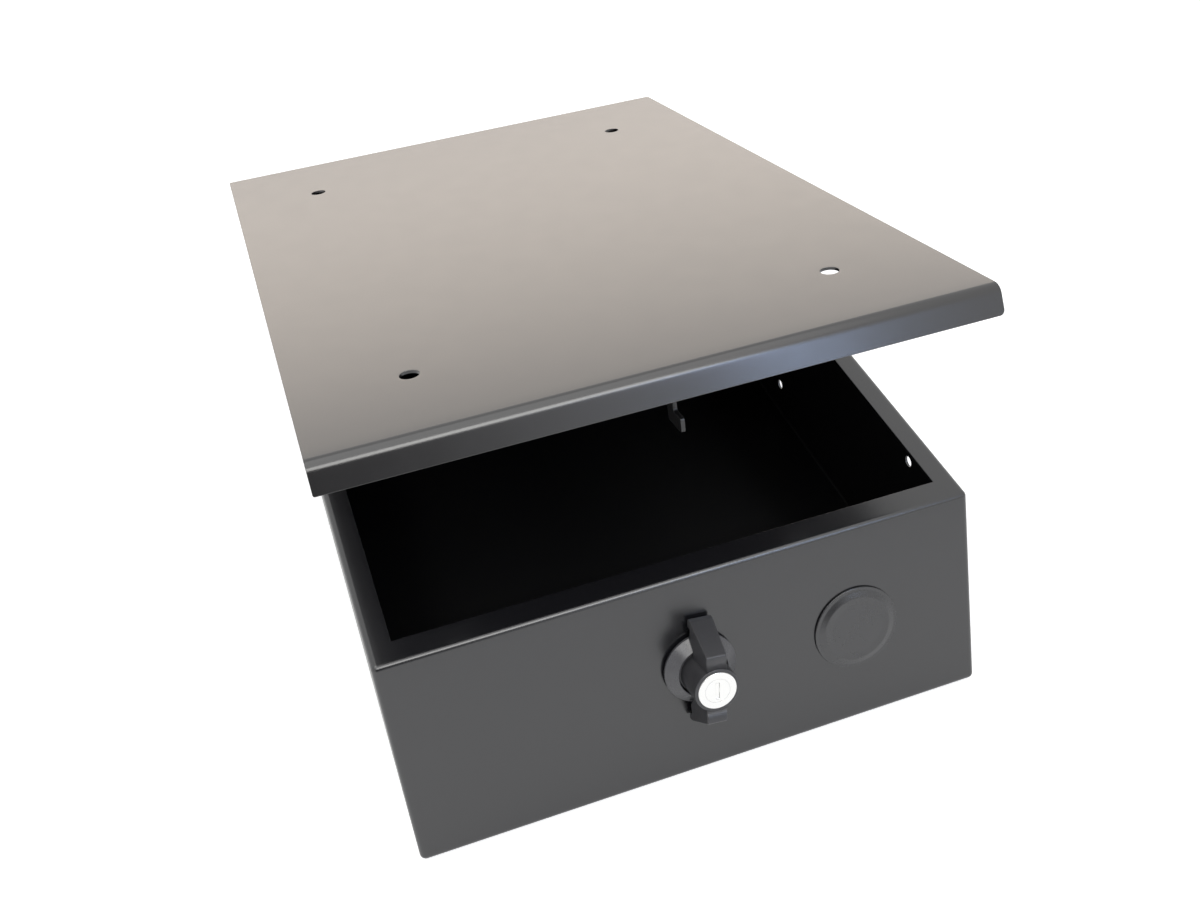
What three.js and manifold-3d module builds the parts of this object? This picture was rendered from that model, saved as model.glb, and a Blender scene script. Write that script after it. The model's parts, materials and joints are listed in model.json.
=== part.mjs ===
// Console lock box: a folded steel tray with a leaning front wall, a hinged lid
// and a wing-knob key lock. Millimetres, +X right, +Y back, +Z up.
// The origin is the middle of the base's underside.

import * as THREE from 'three';
import { ConvexGeometry } from 'three/addons/geometries/ConvexGeometry.js';
import { mergeVertices } from 'three/addons/utils/BufferGeometryUtils.js';
import Module from 'manifold-3d';

const wasm = await Module();
wasm.setup();

// Gaps
const SEAT_GAP = 0.3;
const FIT_CLEARANCE = 0.3;

// Box
const BOX_WIDTH = 300;
const BOX_HEIGHT = 105;
const BASE_DEPTH = 480;
const FRONT_SLANT = THREE.MathUtils.degToRad(19.35);
const BOX_SHEET = 1.5;
const BOX_BEND_INNER_RADIUS = 1.5;
const SIDE_FLANGE = 12;
const FRONT_FLANGE = 13;
const SIDE_HOLE_DIAMETER = 6;
const FRONT_SIDE_HOLE_SETBACK = 50.5;
const FRONT_SIDE_HOLE_DROP = 22.4;
const REAR_SIDE_HOLE_SETBACK = 200;
const REAR_SIDE_HOLE_DROP = 83.4;

// Lid
const LID_SHEET = 1.5;
const LID_OPEN_ANGLE = THREE.MathUtils.degToRad(14.6);
const LID_SIDE_OVERHANG = 4.5;
const LID_BACK_OVERHANG = 0.5;
const LID_FLANGE = 13.8;
const LID_FLANGE_CLEARANCE = 0.8;
const LID_BEND_INNER_RADIUS = 3.5;
const LID_CORNER_RADIUS = 2.5;
const LID_HOLE_DIAMETER = 9;
const LID_HOLE_SPACING_X = 203;
const LID_HOLE_SPACING_Y = 320;
const LID_HOLE_SETBACK = 71.6;

// Hinge
const HINGE_PIN_DIAMETER = 2.6;
const HINGE_PIN_CLEARANCE = 0.08;
const HINGE_LEAF_THICKNESS = 1;
const HINGE_LEAF_WIDTH = 18;
const HINGE_END_GAP = 4;
const HINGE_KNUCKLES = 11;
const KNUCKLE_GAP = 0.4;

// Lock housing, measured from the front face
const LOCK_DROP = 49.5;
const GASKET_DIAMETER = 34;
const GASKET_THICKNESS = 1;
const BEZEL_DIAMETER = 37;
const BEZEL_THICKNESS = 5.6;
const BEZEL_EDGE = 1.2;
const BEZEL_LAND = 0.6;
const BEZEL_FLOOR = 1.2;
const BARREL_DIAMETER = 22;
const BARREL_FLATS = 19;
const BARREL_SETBACK = 0.6;
const NUT_FLATS = 27;
const NUT_THICKNESS = 5;
const WASHER_DIAMETER = 28;
const WASHER_THICKNESS = 1;

// Wing knob
const KNOB_HEIGHT = 24;
const HUB_DIAMETER = 24.4;
const HUB_THICKNESS = 2.6;
const BOSS_DIAMETER = 22.4;
const BOSS_CHAMFER = 0.5;
const STEM_DIAMETER = 11.6;
const STEM_SQUARE = 7.5;
const WING_WIDTH = 12;
const WING_FRONT_LENGTH = 35.4;
const WING_BASE_LENGTH = 55;
const WING_HEIGHT = 22.5;
const WING_END_THICKNESS = 3;
const WING_CLEARANCE = 0.6;
const WING_EDGE_RADIUS = 1.3;
const WING_FOOT = 4.6;
const WING_FOOT_DEPTH = 2.6;
const WING_CORNER_RADIUS = 1.2;
const STOP_TOOTH_REACH = 1.5;
const STOP_TOOTH_ANGLE = THREE.MathUtils.degToRad(14);
const STOP_TOOTH_PLACE = THREE.MathUtils.degToRad(232);
const KNOB_TURN = THREE.MathUtils.degToRad(90);
const KNOB_REST_TURN = THREE.MathUtils.degToRad(6);

// Key cylinder
const SLEEVE_DIAMETER = 19.2;
const SLEEVE_LENGTH = 15.9;
const SLEEVE_PROUD = 0.3;
const SLEEVE_CHAMFER = 0.5;
const PLUG_DIAMETER = 12.4;
const PLUG_CLEARANCE = 0.08;
const KEYWAY_WIDTH = 1.9;
const KEYWAY_HEIGHT = 8;
const WAFER_COUNT = 5;
const WAFER_THICKNESS = 1;
const WAFER_PITCH = 2.2;
const WAFER_WIDTH = 5;
const WAFER_SETBACK = 3.5;
const WAFER_WALL = 1;
const CLIP_DIAMETER = 15.2;
const CLIP_THICKNESS = 0.8;
const CLIP_GROOVE = 1.2;
const DRIVE_PIN_DIAMETER = 2;

// Locking bolt
const BOLT_THROW = 2.4;
const BOLT_WIDTH = 7;
const BOLT_THICKNESS = 1.4;
const BOLT_TAIL = 6;
const BOLT_SLOT_PLAY = 0.6;
const BOLT_SETBACK = 0.4;

// Cam
const CAM_DEPTH = 31;
const CAM_THICKNESS = 2.5;
const CAM_HUB_DIAMETER = 18;
const CAM_ARM_WIDTH = 11;
const CAM_LENGTH = 34;
const CAM_FINGER_REACH = 15;
const CAM_FINGER_HEIGHT = 7.5;
const CAM_SCREW_DIAMETER = 4;
const CAM_SCREW_LENGTH = 9;
const CAM_SCREW_HEAD_DIAMETER = 7.4;
const CAM_SCREW_HEAD_HEIGHT = 2.4;
const CAM_WASHER_DIAMETER = 12;
const CAM_WASHER_THICKNESS = 1;

// Keeper under the lid
const KEEPER_SHEET = 2;
const KEEPER_OFFSET = 8.5;
const KEEPER_SETBACK = 7;
const KEEPER_DEPTH = 16.5;
const KEEPER_FOOT = 22;
const KEEPER_BEND_INNER_RADIUS = 1.5;
const KEEPER_PLAY = 1.2;
const KEEPER_HOOK_HEIGHT = 7.5;
const KEEPER_CORNER_RADIUS = 1.5;

// Cable-hole plug
const CAP_DIAMETER = 44.9;
const CAP_HEIGHT = 2.2;
const CAP_DISH_DIAMETER = 34;
const CAP_DISH_DEPTH = 0.7;
const CAP_SKIRT_DIAMETER = 40.4;
const CAP_SKIRT_WALL = 1.6;
const CAP_SKIRT_LENGTH = 8;
const CAP_BEAD = 0.8;
const CAP_SLOTS = 6;
const CAP_SLOT_WIDTH = 2;
const CAP_EDGE_DISTANCE = 66;
const CAP_DROP = 55.8;

// Facets of round forms
const BEND_STEPS = 5;
const ROUND_STEPS = 48;
const SMALL_ROUND_STEPS = 24;
const FILLET_STEPS = 4;
const MERGE_DISTANCE = 1e-4;
const CUT_MARGIN = 1;

// Derived places of the box
const boxBendRadius = BOX_BEND_INNER_RADIUS + BOX_SHEET;
const backFace = BASE_DEPTH / 2;
const rimFront = -BASE_DEPTH / 2 + BOX_HEIGHT * Math.tan(FRONT_SLANT);
const mouthHalfWidth = BOX_WIDTH / 2 - SIDE_FLANGE;
const mouthFront = rimFront + FRONT_FLANGE;

// Derived places of the hinge and the closed lid
const barrelRadius = HINGE_PIN_DIAMETER / 2 + HINGE_PIN_CLEARANCE + HINGE_LEAF_THICKNESS;
const pivotY = backFace + SEAT_GAP + barrelRadius;
const pivotZ = BOX_HEIGHT - barrelRadius;
const hingeLength = 2 * (mouthHalfWidth - HINGE_END_GAP);
const lidUnderside = BOX_HEIGHT + SEAT_GAP;
const lidTop = lidUnderside + LID_SHEET;
const lidBack = pivotY + barrelRadius + LID_BACK_OVERHANG;

// Derived levels of the lock, outwards from the front face
const gasketBottom = SEAT_GAP;
const gasketTop = gasketBottom + GASKET_THICKNESS;
const bezelBottom = gasketTop + SEAT_GAP;
const bezelTop = bezelBottom + BEZEL_THICKNESS;
const recessFloor = bezelBottom + BEZEL_FLOOR;
const hubBottom = recessFloor + FIT_CLEARANCE;
const boltBottom = hubBottom + SEAT_GAP;
const boltTop = boltBottom + BOLT_THICKNESS;
const barrelEnd = BARREL_SETBACK - CAM_DEPTH;
const sleeveTop = KNOB_HEIGHT + SLEEVE_PROUD;
const sleeveBottom = sleeveTop - SLEEVE_LENGTH;
const clipTop = sleeveBottom - SEAT_GAP;
const clipBottom = clipTop - CLIP_THICKNESS;
const plugBottom = clipBottom - SEAT_GAP;
const pocketFloor = plugBottom - SEAT_GAP;
const washerTop = -BOX_SHEET - SEAT_GAP;
const nutTop = washerTop - WASHER_THICKNESS - SEAT_GAP;
const camFar = CAM_DEPTH + CAM_THICKNESS;
const boltTurn = KNOB_REST_TURN - Math.PI / 2;

const matteSteel = { color: 0x2b2c2f, roughness: 0.42, metalness: 0.3 };
const blackPlastic = { color: 0x1c1c1e, roughness: 0.5, metalness: 0 };
const brightPlating = { color: 0xd9d8d4, roughness: 0.18, metalness: 1 };
const zincPlating = { color: 0xaeb0b2, roughness: 0.35, metalness: 1 };
const darkCasting = { color: 0x3c3c3f, roughness: 0.5, metalness: 0.4 };
const blackRubber = { color: 0x151515, roughness: 0.85, metalness: 0 };
const brass = { color: 0xb89a56, roughness: 0.35, metalness: 1 };

// Closed solid from a geometry: shared corners merged, flat triangles dropped, faces outwards
function solid(geometry) {
  const bare = new THREE.BufferGeometry();
  bare.setAttribute('position', geometry.getAttribute('position').clone());
  if (geometry.index) bare.setIndex(geometry.index.clone());
  const merged = mergeVertices(bare, MERGE_DISTANCE);
  const corners = merged.getAttribute('position').array;
  const source = merged.index.array;
  const triangles = [];
  for (let i = 0; i < source.length; i += 3) {
    const [a, b, c] = [source[i], source[i + 1], source[i + 2]];
    if (a !== b && b !== c && c !== a) triangles.push(a, b, c);
  }
  if (signedVolume(corners, triangles) < 0) triangles.reverse();
  return new wasm.Manifold(new wasm.Mesh({
    numProp: 3,
    vertProperties: Float32Array.from(corners),
    triVerts: Uint32Array.from(triangles),
  }));
}

function signedVolume(corners, triangles) {
  const [a, b, c] = [new THREE.Vector3(), new THREE.Vector3(), new THREE.Vector3()];
  let volume = 0;
  for (let i = 0; i < triangles.length; i += 3) {
    a.fromArray(corners, 3 * triangles[i]);
    b.fromArray(corners, 3 * triangles[i + 1]);
    c.fromArray(corners, 3 * triangles[i + 2]);
    volume += a.dot(b.cross(c)) / 6;
  }
  return volume;
}

function join(first, ...others) {
  return others.reduce((sum, other) => sum.add(other), first);
}

function cut(body, ...tools) {
  return tools.reduce((rest, tool) => rest.subtract(tool), body);
}

// Named mesh of a solid, flat shaded, placed in a group
function addPiece(parent, name, body, finish) {
  const mesh = body.getMesh();
  const geometry = new THREE.BufferGeometry();
  geometry.setAttribute('position', new THREE.BufferAttribute(mesh.vertProperties, 3));
  geometry.setIndex(new THREE.BufferAttribute(mesh.triVerts, 1));
  geometry.computeVertexNormals();
  const material = new THREE.MeshStandardMaterial({ ...finish, flatShading: true });
  const piece = new THREE.Mesh(geometry, material);
  piece.name = name;
  parent.add(piece);
  return piece;
}

// Outline through corner points, each [x, y, fillet radius]
function filletedOutline(corners) {
  const shape = new THREE.Shape();
  corners.forEach(([x, y, radius = 0], i) => {
    const corner = new THREE.Vector2(x, y);
    const before = new THREE.Vector2(...corners.at(i - 1).slice(0, 2)).sub(corner).normalize();
    const after = new THREE.Vector2(...corners[(i + 1) % corners.length].slice(0, 2)).sub(corner).normalize();
    if (radius <= 0) {
      if (i === 0) shape.moveTo(x, y);
      else shape.lineTo(x, y);
      return;
    }
    const half = Math.acos(THREE.MathUtils.clamp(before.dot(after), -1, 1)) / 2;
    const centre = before.clone().add(after).normalize().multiplyScalar(radius / Math.sin(half)).add(corner);
    const start = before.clone().multiplyScalar(radius / Math.tan(half)).add(corner);
    const end = after.clone().multiplyScalar(radius / Math.tan(half)).add(corner);
    if (i === 0) shape.moveTo(start.x, start.y);
    else shape.lineTo(start.x, start.y);
    const from = Math.atan2(start.y - centre.y, start.x - centre.x);
    const to = Math.atan2(end.y - centre.y, end.x - centre.x);
    shape.absarc(centre.x, centre.y, radius, from, to, before.cross(after) > 0);
  });
  shape.closePath();
  return shape;
}

// Prism of an outline, from one level to another along its own third axis
function prism(outline, low, high, curveSegments = FILLET_STEPS) {
  const geometry = new THREE.ExtrudeGeometry(outline, {
    depth: high - low,
    bevelEnabled: false,
    curveSegments,
  });
  return geometry.translate(0, 0, low);
}

// Outline given in Y and Z, carried along X about the middle plane
function prismAlongX(outline, width, curveSegments = FILLET_STEPS) {
  return alongX(prism(outline, -width / 2, width / 2, curveSegments));
}

function alongX(geometry) {
  const turn = new THREE.Matrix4().makeBasis(
    new THREE.Vector3(0, 1, 0),
    new THREE.Vector3(0, 0, 1),
    new THREE.Vector3(1, 0, 0),
  );
  return geometry.applyMatrix4(turn);
}

// Outline given in X and Z, carried along Y from one place to another
function prismAlongY(outline, low, high) {
  const turn = new THREE.Matrix4().makeBasis(
    new THREE.Vector3(1, 0, 0),
    new THREE.Vector3(0, 0, 1),
    new THREE.Vector3(0, -1, 0),
  );
  return prism(outline, -high, -low).applyMatrix4(turn);
}

function block(lowX, highX, lowY, highY, lowZ, highZ) {
  const geometry = new THREE.BoxGeometry(highX - lowX, highY - lowY, highZ - lowZ);
  return geometry.translate((lowX + highX) / 2, (lowY + highY) / 2, (lowZ + highZ) / 2);
}

// Round bar along Z
function rod(radius, low, high, steps = ROUND_STEPS) {
  const geometry = new THREE.CylinderGeometry(radius, radius, high - low, steps);
  return geometry.rotateX(Math.PI / 2).translate(0, 0, (low + high) / 2);
}

// Profile of [radius, level] points turned about Z
function turned(profile, steps = ROUND_STEPS) {
  const points = profile.map(([radius, level]) => new THREE.Vector2(radius, level));
  return new THREE.LatheGeometry(points, steps).rotateX(Math.PI / 2);
}

function tube(outerRadius, innerRadius, low, high, steps = ROUND_STEPS) {
  const profile = [
    [outerRadius, low],
    [outerRadius, high],
    [innerRadius, high],
    [innerRadius, low],
    [outerRadius, low],
  ];
  return turned(profile, steps);
}

// Sector of a disc about Z between two angles
function sector(radius, from, to, low, high) {
  const outline = new THREE.Shape();
  outline.moveTo(0, 0);
  outline.lineTo(radius * Math.cos(from), radius * Math.sin(from));
  outline.absarc(0, 0, radius, from, to, false);
  outline.closePath();
  return prism(outline, low, high, ROUND_STEPS / 4);
}

// Circle with two opposite flats, as on a flatted barrel
function flattedDisc(radius, acrossFlats, low, high) {
  const disc = solid(rod(radius, low, high));
  const flats = solid(block(-acrossFlats / 2, acrossFlats / 2, -2 * radius, 2 * radius, low, high));
  return disc.intersect(flats);
}

// Evenly spaced directions in the Y-Z plane over one fold, both ends included
function foldAngles(from, to) {
  return Array.from({ length: BEND_STEPS + 1 }, (_, i) => from + ((to - from) * i) / BEND_STEPS);
}

// Block with a leaning front and every edge rolled: the hull of eight balls
function rolledBlock(ballRadius) {
  const frontNormal = Math.PI - FRONT_SLANT;
  const lift = boxBendRadius;
  const halfWidth = BOX_WIDTH / 2 - lift;
  const frontAt = (z) => rimFront - (BOX_HEIGHT - z) * Math.tan(FRONT_SLANT) + lift / Math.cos(FRONT_SLANT);
  const corners = [
    { y: backFace - lift, z: BOX_HEIGHT - lift, turn: foldAngles(0, Math.PI / 2) },
    { y: frontAt(BOX_HEIGHT - lift), z: BOX_HEIGHT - lift, turn: foldAngles(Math.PI / 2, frontNormal) },
    { y: frontAt(lift), z: lift, turn: foldAngles(frontNormal, 1.5 * Math.PI) },
    { y: backFace - lift, z: lift, turn: foldAngles(1.5 * Math.PI, 2 * Math.PI) },
  ];
  const points = [];
  for (const side of [-1, 1]) {
    for (const { y, z, turn } of corners) {
      points.push(new THREE.Vector3(side * (halfWidth + ballRadius), y, z));
      for (const tilt of foldAngles(0, Math.PI / 2).slice(1)) {
        for (const angle of turn) {
          points.push(new THREE.Vector3(
            side * (halfWidth + ballRadius * Math.cos(tilt)),
            y + ballRadius * Math.sin(tilt) * Math.cos(angle),
            z + ballRadius * Math.sin(tilt) * Math.sin(angle),
          ));
        }
      }
    }
  }
  return new ConvexGeometry(points);
}

// Frame on the front face: origin on the rim's front corner, Y up the face, Z outwards
const frontFrame = new THREE.Group();
frontFrame.position.set(0, rimFront, BOX_HEIGHT);
frontFrame.rotation.x = Math.PI / 2 - FRONT_SLANT;
frontFrame.updateMatrix();

const lockFrame = new THREE.Group();
lockFrame.position.set(0, -LOCK_DROP, 0);
lockFrame.updateMatrix();
frontFrame.add(lockFrame);

const knobFrame = new THREE.Group();
knobFrame.rotation.z = -KNOB_REST_TURN;
lockFrame.add(knobFrame);

const plugFrame = new THREE.Group();
plugFrame.position.set(BOX_WIDTH / 2 - CAP_EDGE_DISTANCE, -CAP_DROP, 0);
plugFrame.updateMatrix();
frontFrame.add(plugFrame);

// A solid moved from a frame on the front face into the box's own frame
function fromFront(frame, body) {
  const place = frontFrame.matrix.clone().multiply(frame.matrix);
  const mesh = body.getMesh();
  const geometry = new THREE.BufferGeometry();
  geometry.setAttribute('position', new THREE.BufferAttribute(mesh.vertProperties, 3));
  geometry.setIndex(new THREE.BufferAttribute(mesh.triVerts, 1));
  return solid(geometry.applyMatrix4(place));
}

function sideHole(setback, drop) {
  const drill = rod(SIDE_HOLE_DIAMETER / 2, -BOX_WIDTH, BOX_WIDTH, SMALL_ROUND_STEPS);
  const place = new THREE.Matrix4().makeRotationY(Math.PI / 2);
  drill.applyMatrix4(place).translate(0, rimFront + setback, BOX_HEIGHT - drop);
  return solid(drill);
}

function boxShell() {
  const wall = cut(solid(rolledBlock(boxBendRadius)), solid(rolledBlock(BOX_BEND_INNER_RADIUS)));
  const mouth = block(
    -mouthHalfWidth, mouthHalfWidth,
    mouthFront, backFace + CUT_MARGIN,
    BOX_HEIGHT - boxBendRadius, BOX_HEIGHT + CUT_MARGIN,
  );
  const reach = BOX_SHEET + CUT_MARGIN;
  const lockHole = flattedDisc(
    BARREL_DIAMETER / 2 + FIT_CLEARANCE, BARREL_FLATS + 2 * FIT_CLEARANCE, -reach, reach,
  );
  const cableHole = solid(rod(CAP_SKIRT_DIAMETER / 2 + FIT_CLEARANCE, -reach, reach));
  return cut(
    wall,
    solid(mouth),
    fromFront(lockFrame, lockHole),
    fromFront(plugFrame, cableHole),
    sideHole(FRONT_SIDE_HOLE_SETBACK, FRONT_SIDE_HOLE_DROP),
    sideHole(REAR_SIDE_HOLE_SETBACK, REAR_SIDE_HOLE_DROP),
  );
}

// Everything below is drawn on the hinge axis: a point (y, z) of the closed box
// becomes (y - pivotY, z - pivotZ) in the lid's frame.
function lidOutline() {
  const outerRadius = LID_BEND_INNER_RADIUS + LID_SHEET;
  const flangeOffset = LID_FLANGE_CLEARANCE + LID_SHEET;
  const top = lidTop - pivotZ;
  const back = lidBack - pivotY;
  const onFlangeAt = (z, offset) => rimFront - pivotY
    + ((z + pivotZ - BOX_HEIGHT) * Math.sin(FRONT_SLANT) - offset) / Math.cos(FRONT_SLANT);
  const bendZ = top - outerRadius;
  const bendY = onFlangeAt(bendZ, flangeOffset - outerRadius);
  const down = new THREE.Vector2(-Math.sin(FRONT_SLANT), -Math.cos(FRONT_SLANT));
  const inwards = new THREE.Vector2(Math.cos(FRONT_SLANT), -Math.sin(FRONT_SLANT));
  const end = new THREE.Vector2(onFlangeAt(top, flangeOffset), top).addScaledVector(down, LID_FLANGE);
  const innerEnd = end.clone().addScaledVector(inwards, LID_SHEET);
  const shape = new THREE.Shape();
  shape.moveTo(back, top);
  shape.lineTo(bendY, top);
  shape.absarc(bendY, bendZ, outerRadius, Math.PI / 2, Math.PI - FRONT_SLANT, false);
  shape.lineTo(end.x, end.y);
  shape.lineTo(innerEnd.x, innerEnd.y);
  shape.absarc(bendY, bendZ, LID_BEND_INNER_RADIUS, Math.PI - FRONT_SLANT, Math.PI / 2, true);
  shape.lineTo(back, top - LID_SHEET);
  shape.closePath();
  return { shape, end, back, top };
}

function lidPanel() {
  const width = BOX_WIDTH + 2 * LID_SIDE_OVERHANG;
  const half = width / 2;
  const { shape, end, back, top } = lidOutline();
  const front = end.x - CUT_MARGIN;
  const plan = filletedOutline([
    [-half, front],
    [half, front],
    [half, back, LID_CORNER_RADIUS],
    [-half, back, LID_CORNER_RADIUS],
  ]);
  const elevation = filletedOutline([
    [-half, end.y, LID_CORNER_RADIUS],
    [half, end.y, LID_CORNER_RADIUS],
    [half, top + CUT_MARGIN],
    [-half, top + CUT_MARGIN],
  ]);
  const sheet = solid(prismAlongX(shape, width, 2 * BEND_STEPS))
    .intersect(solid(prism(plan, end.y - CUT_MARGIN, top + CUT_MARGIN)))
    .intersect(solid(prismAlongY(elevation, front - CUT_MARGIN, back + CUT_MARGIN)));
  const holes = [];
  for (const side of [-1, 1]) {
    for (const row of [0, 1]) {
      const drill = rod(LID_HOLE_DIAMETER / 2, top - LID_SHEET - CUT_MARGIN, top + CUT_MARGIN, SMALL_ROUND_STEPS);
      drill.translate((side * LID_HOLE_SPACING_X) / 2, back - LID_HOLE_SETBACK - row * LID_HOLE_SPACING_Y, 0);
      holes.push(solid(drill));
    }
  }
  return cut(sheet, ...holes);
}

// Place of a point behind the front wall, given up the face and inwards from it
function behindFront(up, inward) {
  return {
    y: rimFront + (up - LOCK_DROP) * Math.sin(FRONT_SLANT) + inward * Math.cos(FRONT_SLANT) - pivotY,
    z: BOX_HEIGHT + (up - LOCK_DROP) * Math.cos(FRONT_SLANT) - inward * Math.sin(FRONT_SLANT) - pivotZ,
  };
}

// Angle bracket whose hook reaches under the cam's finger when the knob is locked
function lidKeeper() {
  const top = lidUnderside - pivotZ - SEAT_GAP;
  const nearX = KEEPER_OFFSET - KEEPER_SHEET / 2;
  const farX = KEEPER_OFFSET + KEEPER_SHEET / 2;
  const front = mouthFront - pivotY + KEEPER_SETBACK;
  const back = front + KEEPER_DEPTH;
  const fingerUp = CAM_LENGTH - CAM_FINGER_HEIGHT;
  const tipRadius = Math.hypot(CAM_FINGER_REACH, CAM_LENGTH);
  const sweepUp = Math.sqrt(tipRadius ** 2 - nearX ** 2);
  const notchBottom = behindFront(fingerUp, camFar).z - KEEPER_PLAY;
  const notchTop = behindFront(sweepUp, CAM_DEPTH).z + KEEPER_PLAY;
  const notchBack = behindFront(sweepUp, camFar).y + KEEPER_PLAY;
  const bottom = notchBottom - KEEPER_HOOK_HEIGHT;
  const angle = filletedOutline([
    [nearX, bottom],
    [farX, bottom],
    [farX, top - KEEPER_SHEET, KEEPER_BEND_INNER_RADIUS],
    [nearX + KEEPER_FOOT, top - KEEPER_SHEET],
    [nearX + KEEPER_FOOT, top],
    [nearX, top, KEEPER_BEND_INNER_RADIUS + KEEPER_SHEET],
  ]);
  const hook = filletedOutline([
    [front, bottom, KEEPER_CORNER_RADIUS],
    [back, bottom, KEEPER_CORNER_RADIUS],
    [back, top + CUT_MARGIN],
    [front, top + CUT_MARGIN],
    [front, notchTop, KEEPER_CORNER_RADIUS],
    [notchBack, notchTop, KEEPER_CORNER_RADIUS],
    [notchBack, notchBottom, KEEPER_CORNER_RADIUS],
    [front, notchBottom, KEEPER_CORNER_RADIUS],
  ]);
  return solid(prismAlongY(angle, front, back)).intersect(solid(prismAlongX(hook, 4 * KEEPER_FOOT)));
}

// Hinge leaf drawn on the hinge axis: a flat that meets the barrel at a tangent
function hingeLeaf(plate, firstKnuckle) {
  const boreRadius = HINGE_PIN_DIAMETER / 2 + HINGE_PIN_CLEARANCE;
  const barrel = alongX(rod(barrelRadius, -hingeLength / 2, hingeLength / 2, SMALL_ROUND_STEPS));
  const bore = alongX(rod(boreRadius, -hingeLength, hingeLength, SMALL_ROUND_STEPS));
  const pitch = hingeLength / HINGE_KNUCKLES;
  const room = barrelRadius + FIT_CLEARANCE;
  const notches = [];
  for (let i = 1 - firstKnuckle; i < HINGE_KNUCKLES; i += 2) {
    const low = -hingeLength / 2 + i * pitch - KNUCKLE_GAP / 2;
    notches.push(solid(block(low, low + pitch + KNUCKLE_GAP, -room, room, -room, room)));
  }
  return cut(join(solid(plate), solid(barrel)), solid(bore), ...notches);
}

function hingeLeafBox() {
  const plate = block(
    -hingeLength / 2, hingeLength / 2,
    -barrelRadius, HINGE_LEAF_THICKNESS - barrelRadius,
    -HINGE_LEAF_WIDTH - barrelRadius, 0,
  );
  return hingeLeaf(plate, 0);
}

function hingeLeafLid() {
  const plate = block(
    -hingeLength / 2, hingeLength / 2,
    -HINGE_LEAF_WIDTH - barrelRadius, 0,
    barrelRadius - HINGE_LEAF_THICKNESS, barrelRadius,
  );
  return hingeLeaf(plate, 1);
}

function hingePin() {
  return solid(alongX(rod(HINGE_PIN_DIAMETER / 2, -hingeLength / 2, hingeLength / 2, SMALL_ROUND_STEPS)));
}

function lockGasket() {
  const ring = solid(rod(GASKET_DIAMETER / 2, gasketBottom, gasketTop));
  const opening = flattedDisc(
    BARREL_DIAMETER / 2 + FIT_CLEARANCE, BARREL_FLATS + 2 * FIT_CLEARANCE,
    gasketBottom - CUT_MARGIN, gasketTop + CUT_MARGIN,
  );
  return cut(ring, opening);
}

// Base ring with the knob's recess, three bolt notches and the stop tooth's track, on a flatted barrel
function lockHousing() {
  const radius = BEZEL_DIAMETER / 2;
  const recessRadius = HUB_DIAMETER / 2 + FIT_CLEARANCE;
  const ring = solid(turned([
    [0, bezelBottom],
    [radius, bezelBottom],
    [radius, bezelBottom + BEZEL_EDGE],
    [recessRadius + BEZEL_LAND, bezelTop],
    [0, bezelTop],
  ]));
  const barrel = flattedDisc(BARREL_DIAMETER / 2, BARREL_FLATS, barrelEnd, bezelBottom + BEZEL_FLOOR / 2);
  const recess = solid(rod(recessRadius, recessFloor, bezelTop + CUT_MARGIN));
  const bore = solid(rod(STEM_DIAMETER / 2 + FIT_CLEARANCE, barrelEnd - CUT_MARGIN, bezelTop));
  const notchReach = HUB_DIAMETER / 2 - BOLT_SETBACK + BOLT_THROW + FIT_CLEARANCE;
  const notchHalf = BOLT_WIDTH / 2 + FIT_CLEARANCE;
  const notchTop = boltTop + FIT_CLEARANCE;
  const notches = [0, KNOB_REST_TURN, KNOB_TURN].map((turn) => solid(
    block(-notchHalf, notchHalf, 0, notchReach, recessFloor, notchTop).rotateZ(boltTurn - turn),
  ));
  const trackRadius = HUB_DIAMETER / 2 + STOP_TOOTH_REACH + FIT_CLEARANCE;
  const slack = FIT_CLEARANCE / trackRadius + STOP_TOOTH_ANGLE / 2;
  const track = solid(sector(
    trackRadius, STOP_TOOTH_PLACE - KNOB_TURN - slack, STOP_TOOTH_PLACE + slack,
    recessFloor, notchTop,
  ));
  return cut(join(ring, barrel), recess, bore, track, ...notches);
}

function lockWasher() {
  const ring = solid(rod(WASHER_DIAMETER / 2, washerTop - WASHER_THICKNESS, washerTop));
  const opening = flattedDisc(
    BARREL_DIAMETER / 2 + FIT_CLEARANCE, BARREL_FLATS + 2 * FIT_CLEARANCE,
    washerTop - WASHER_THICKNESS - CUT_MARGIN, washerTop + CUT_MARGIN,
  );
  return cut(ring, opening);
}

function lockNut() {
  const acrossCorners = NUT_FLATS / Math.cos(Math.PI / 6);
  const hexagon = solid(rod(acrossCorners / 2, nutTop - NUT_THICKNESS, nutTop, 6));
  const thread = rod(BARREL_DIAMETER / 2 + FIT_CLEARANCE, nutTop - NUT_THICKNESS - CUT_MARGIN, nutTop + CUT_MARGIN);
  return cut(hexagon, solid(thread));
}

// Place on the bezel's cone, at a distance from its surface
function overBezel(radius, clearance) {
  const run = BEZEL_DIAMETER / 2 - (HUB_DIAMETER / 2 + FIT_CLEARANCE + BEZEL_LAND);
  const rise = BEZEL_THICKNESS - BEZEL_EDGE;
  const level = bezelBottom + BEZEL_EDGE + ((BEZEL_DIAMETER / 2 - radius) * rise) / run;
  return level + (clearance * Math.hypot(rise, run)) / run;
}

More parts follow.
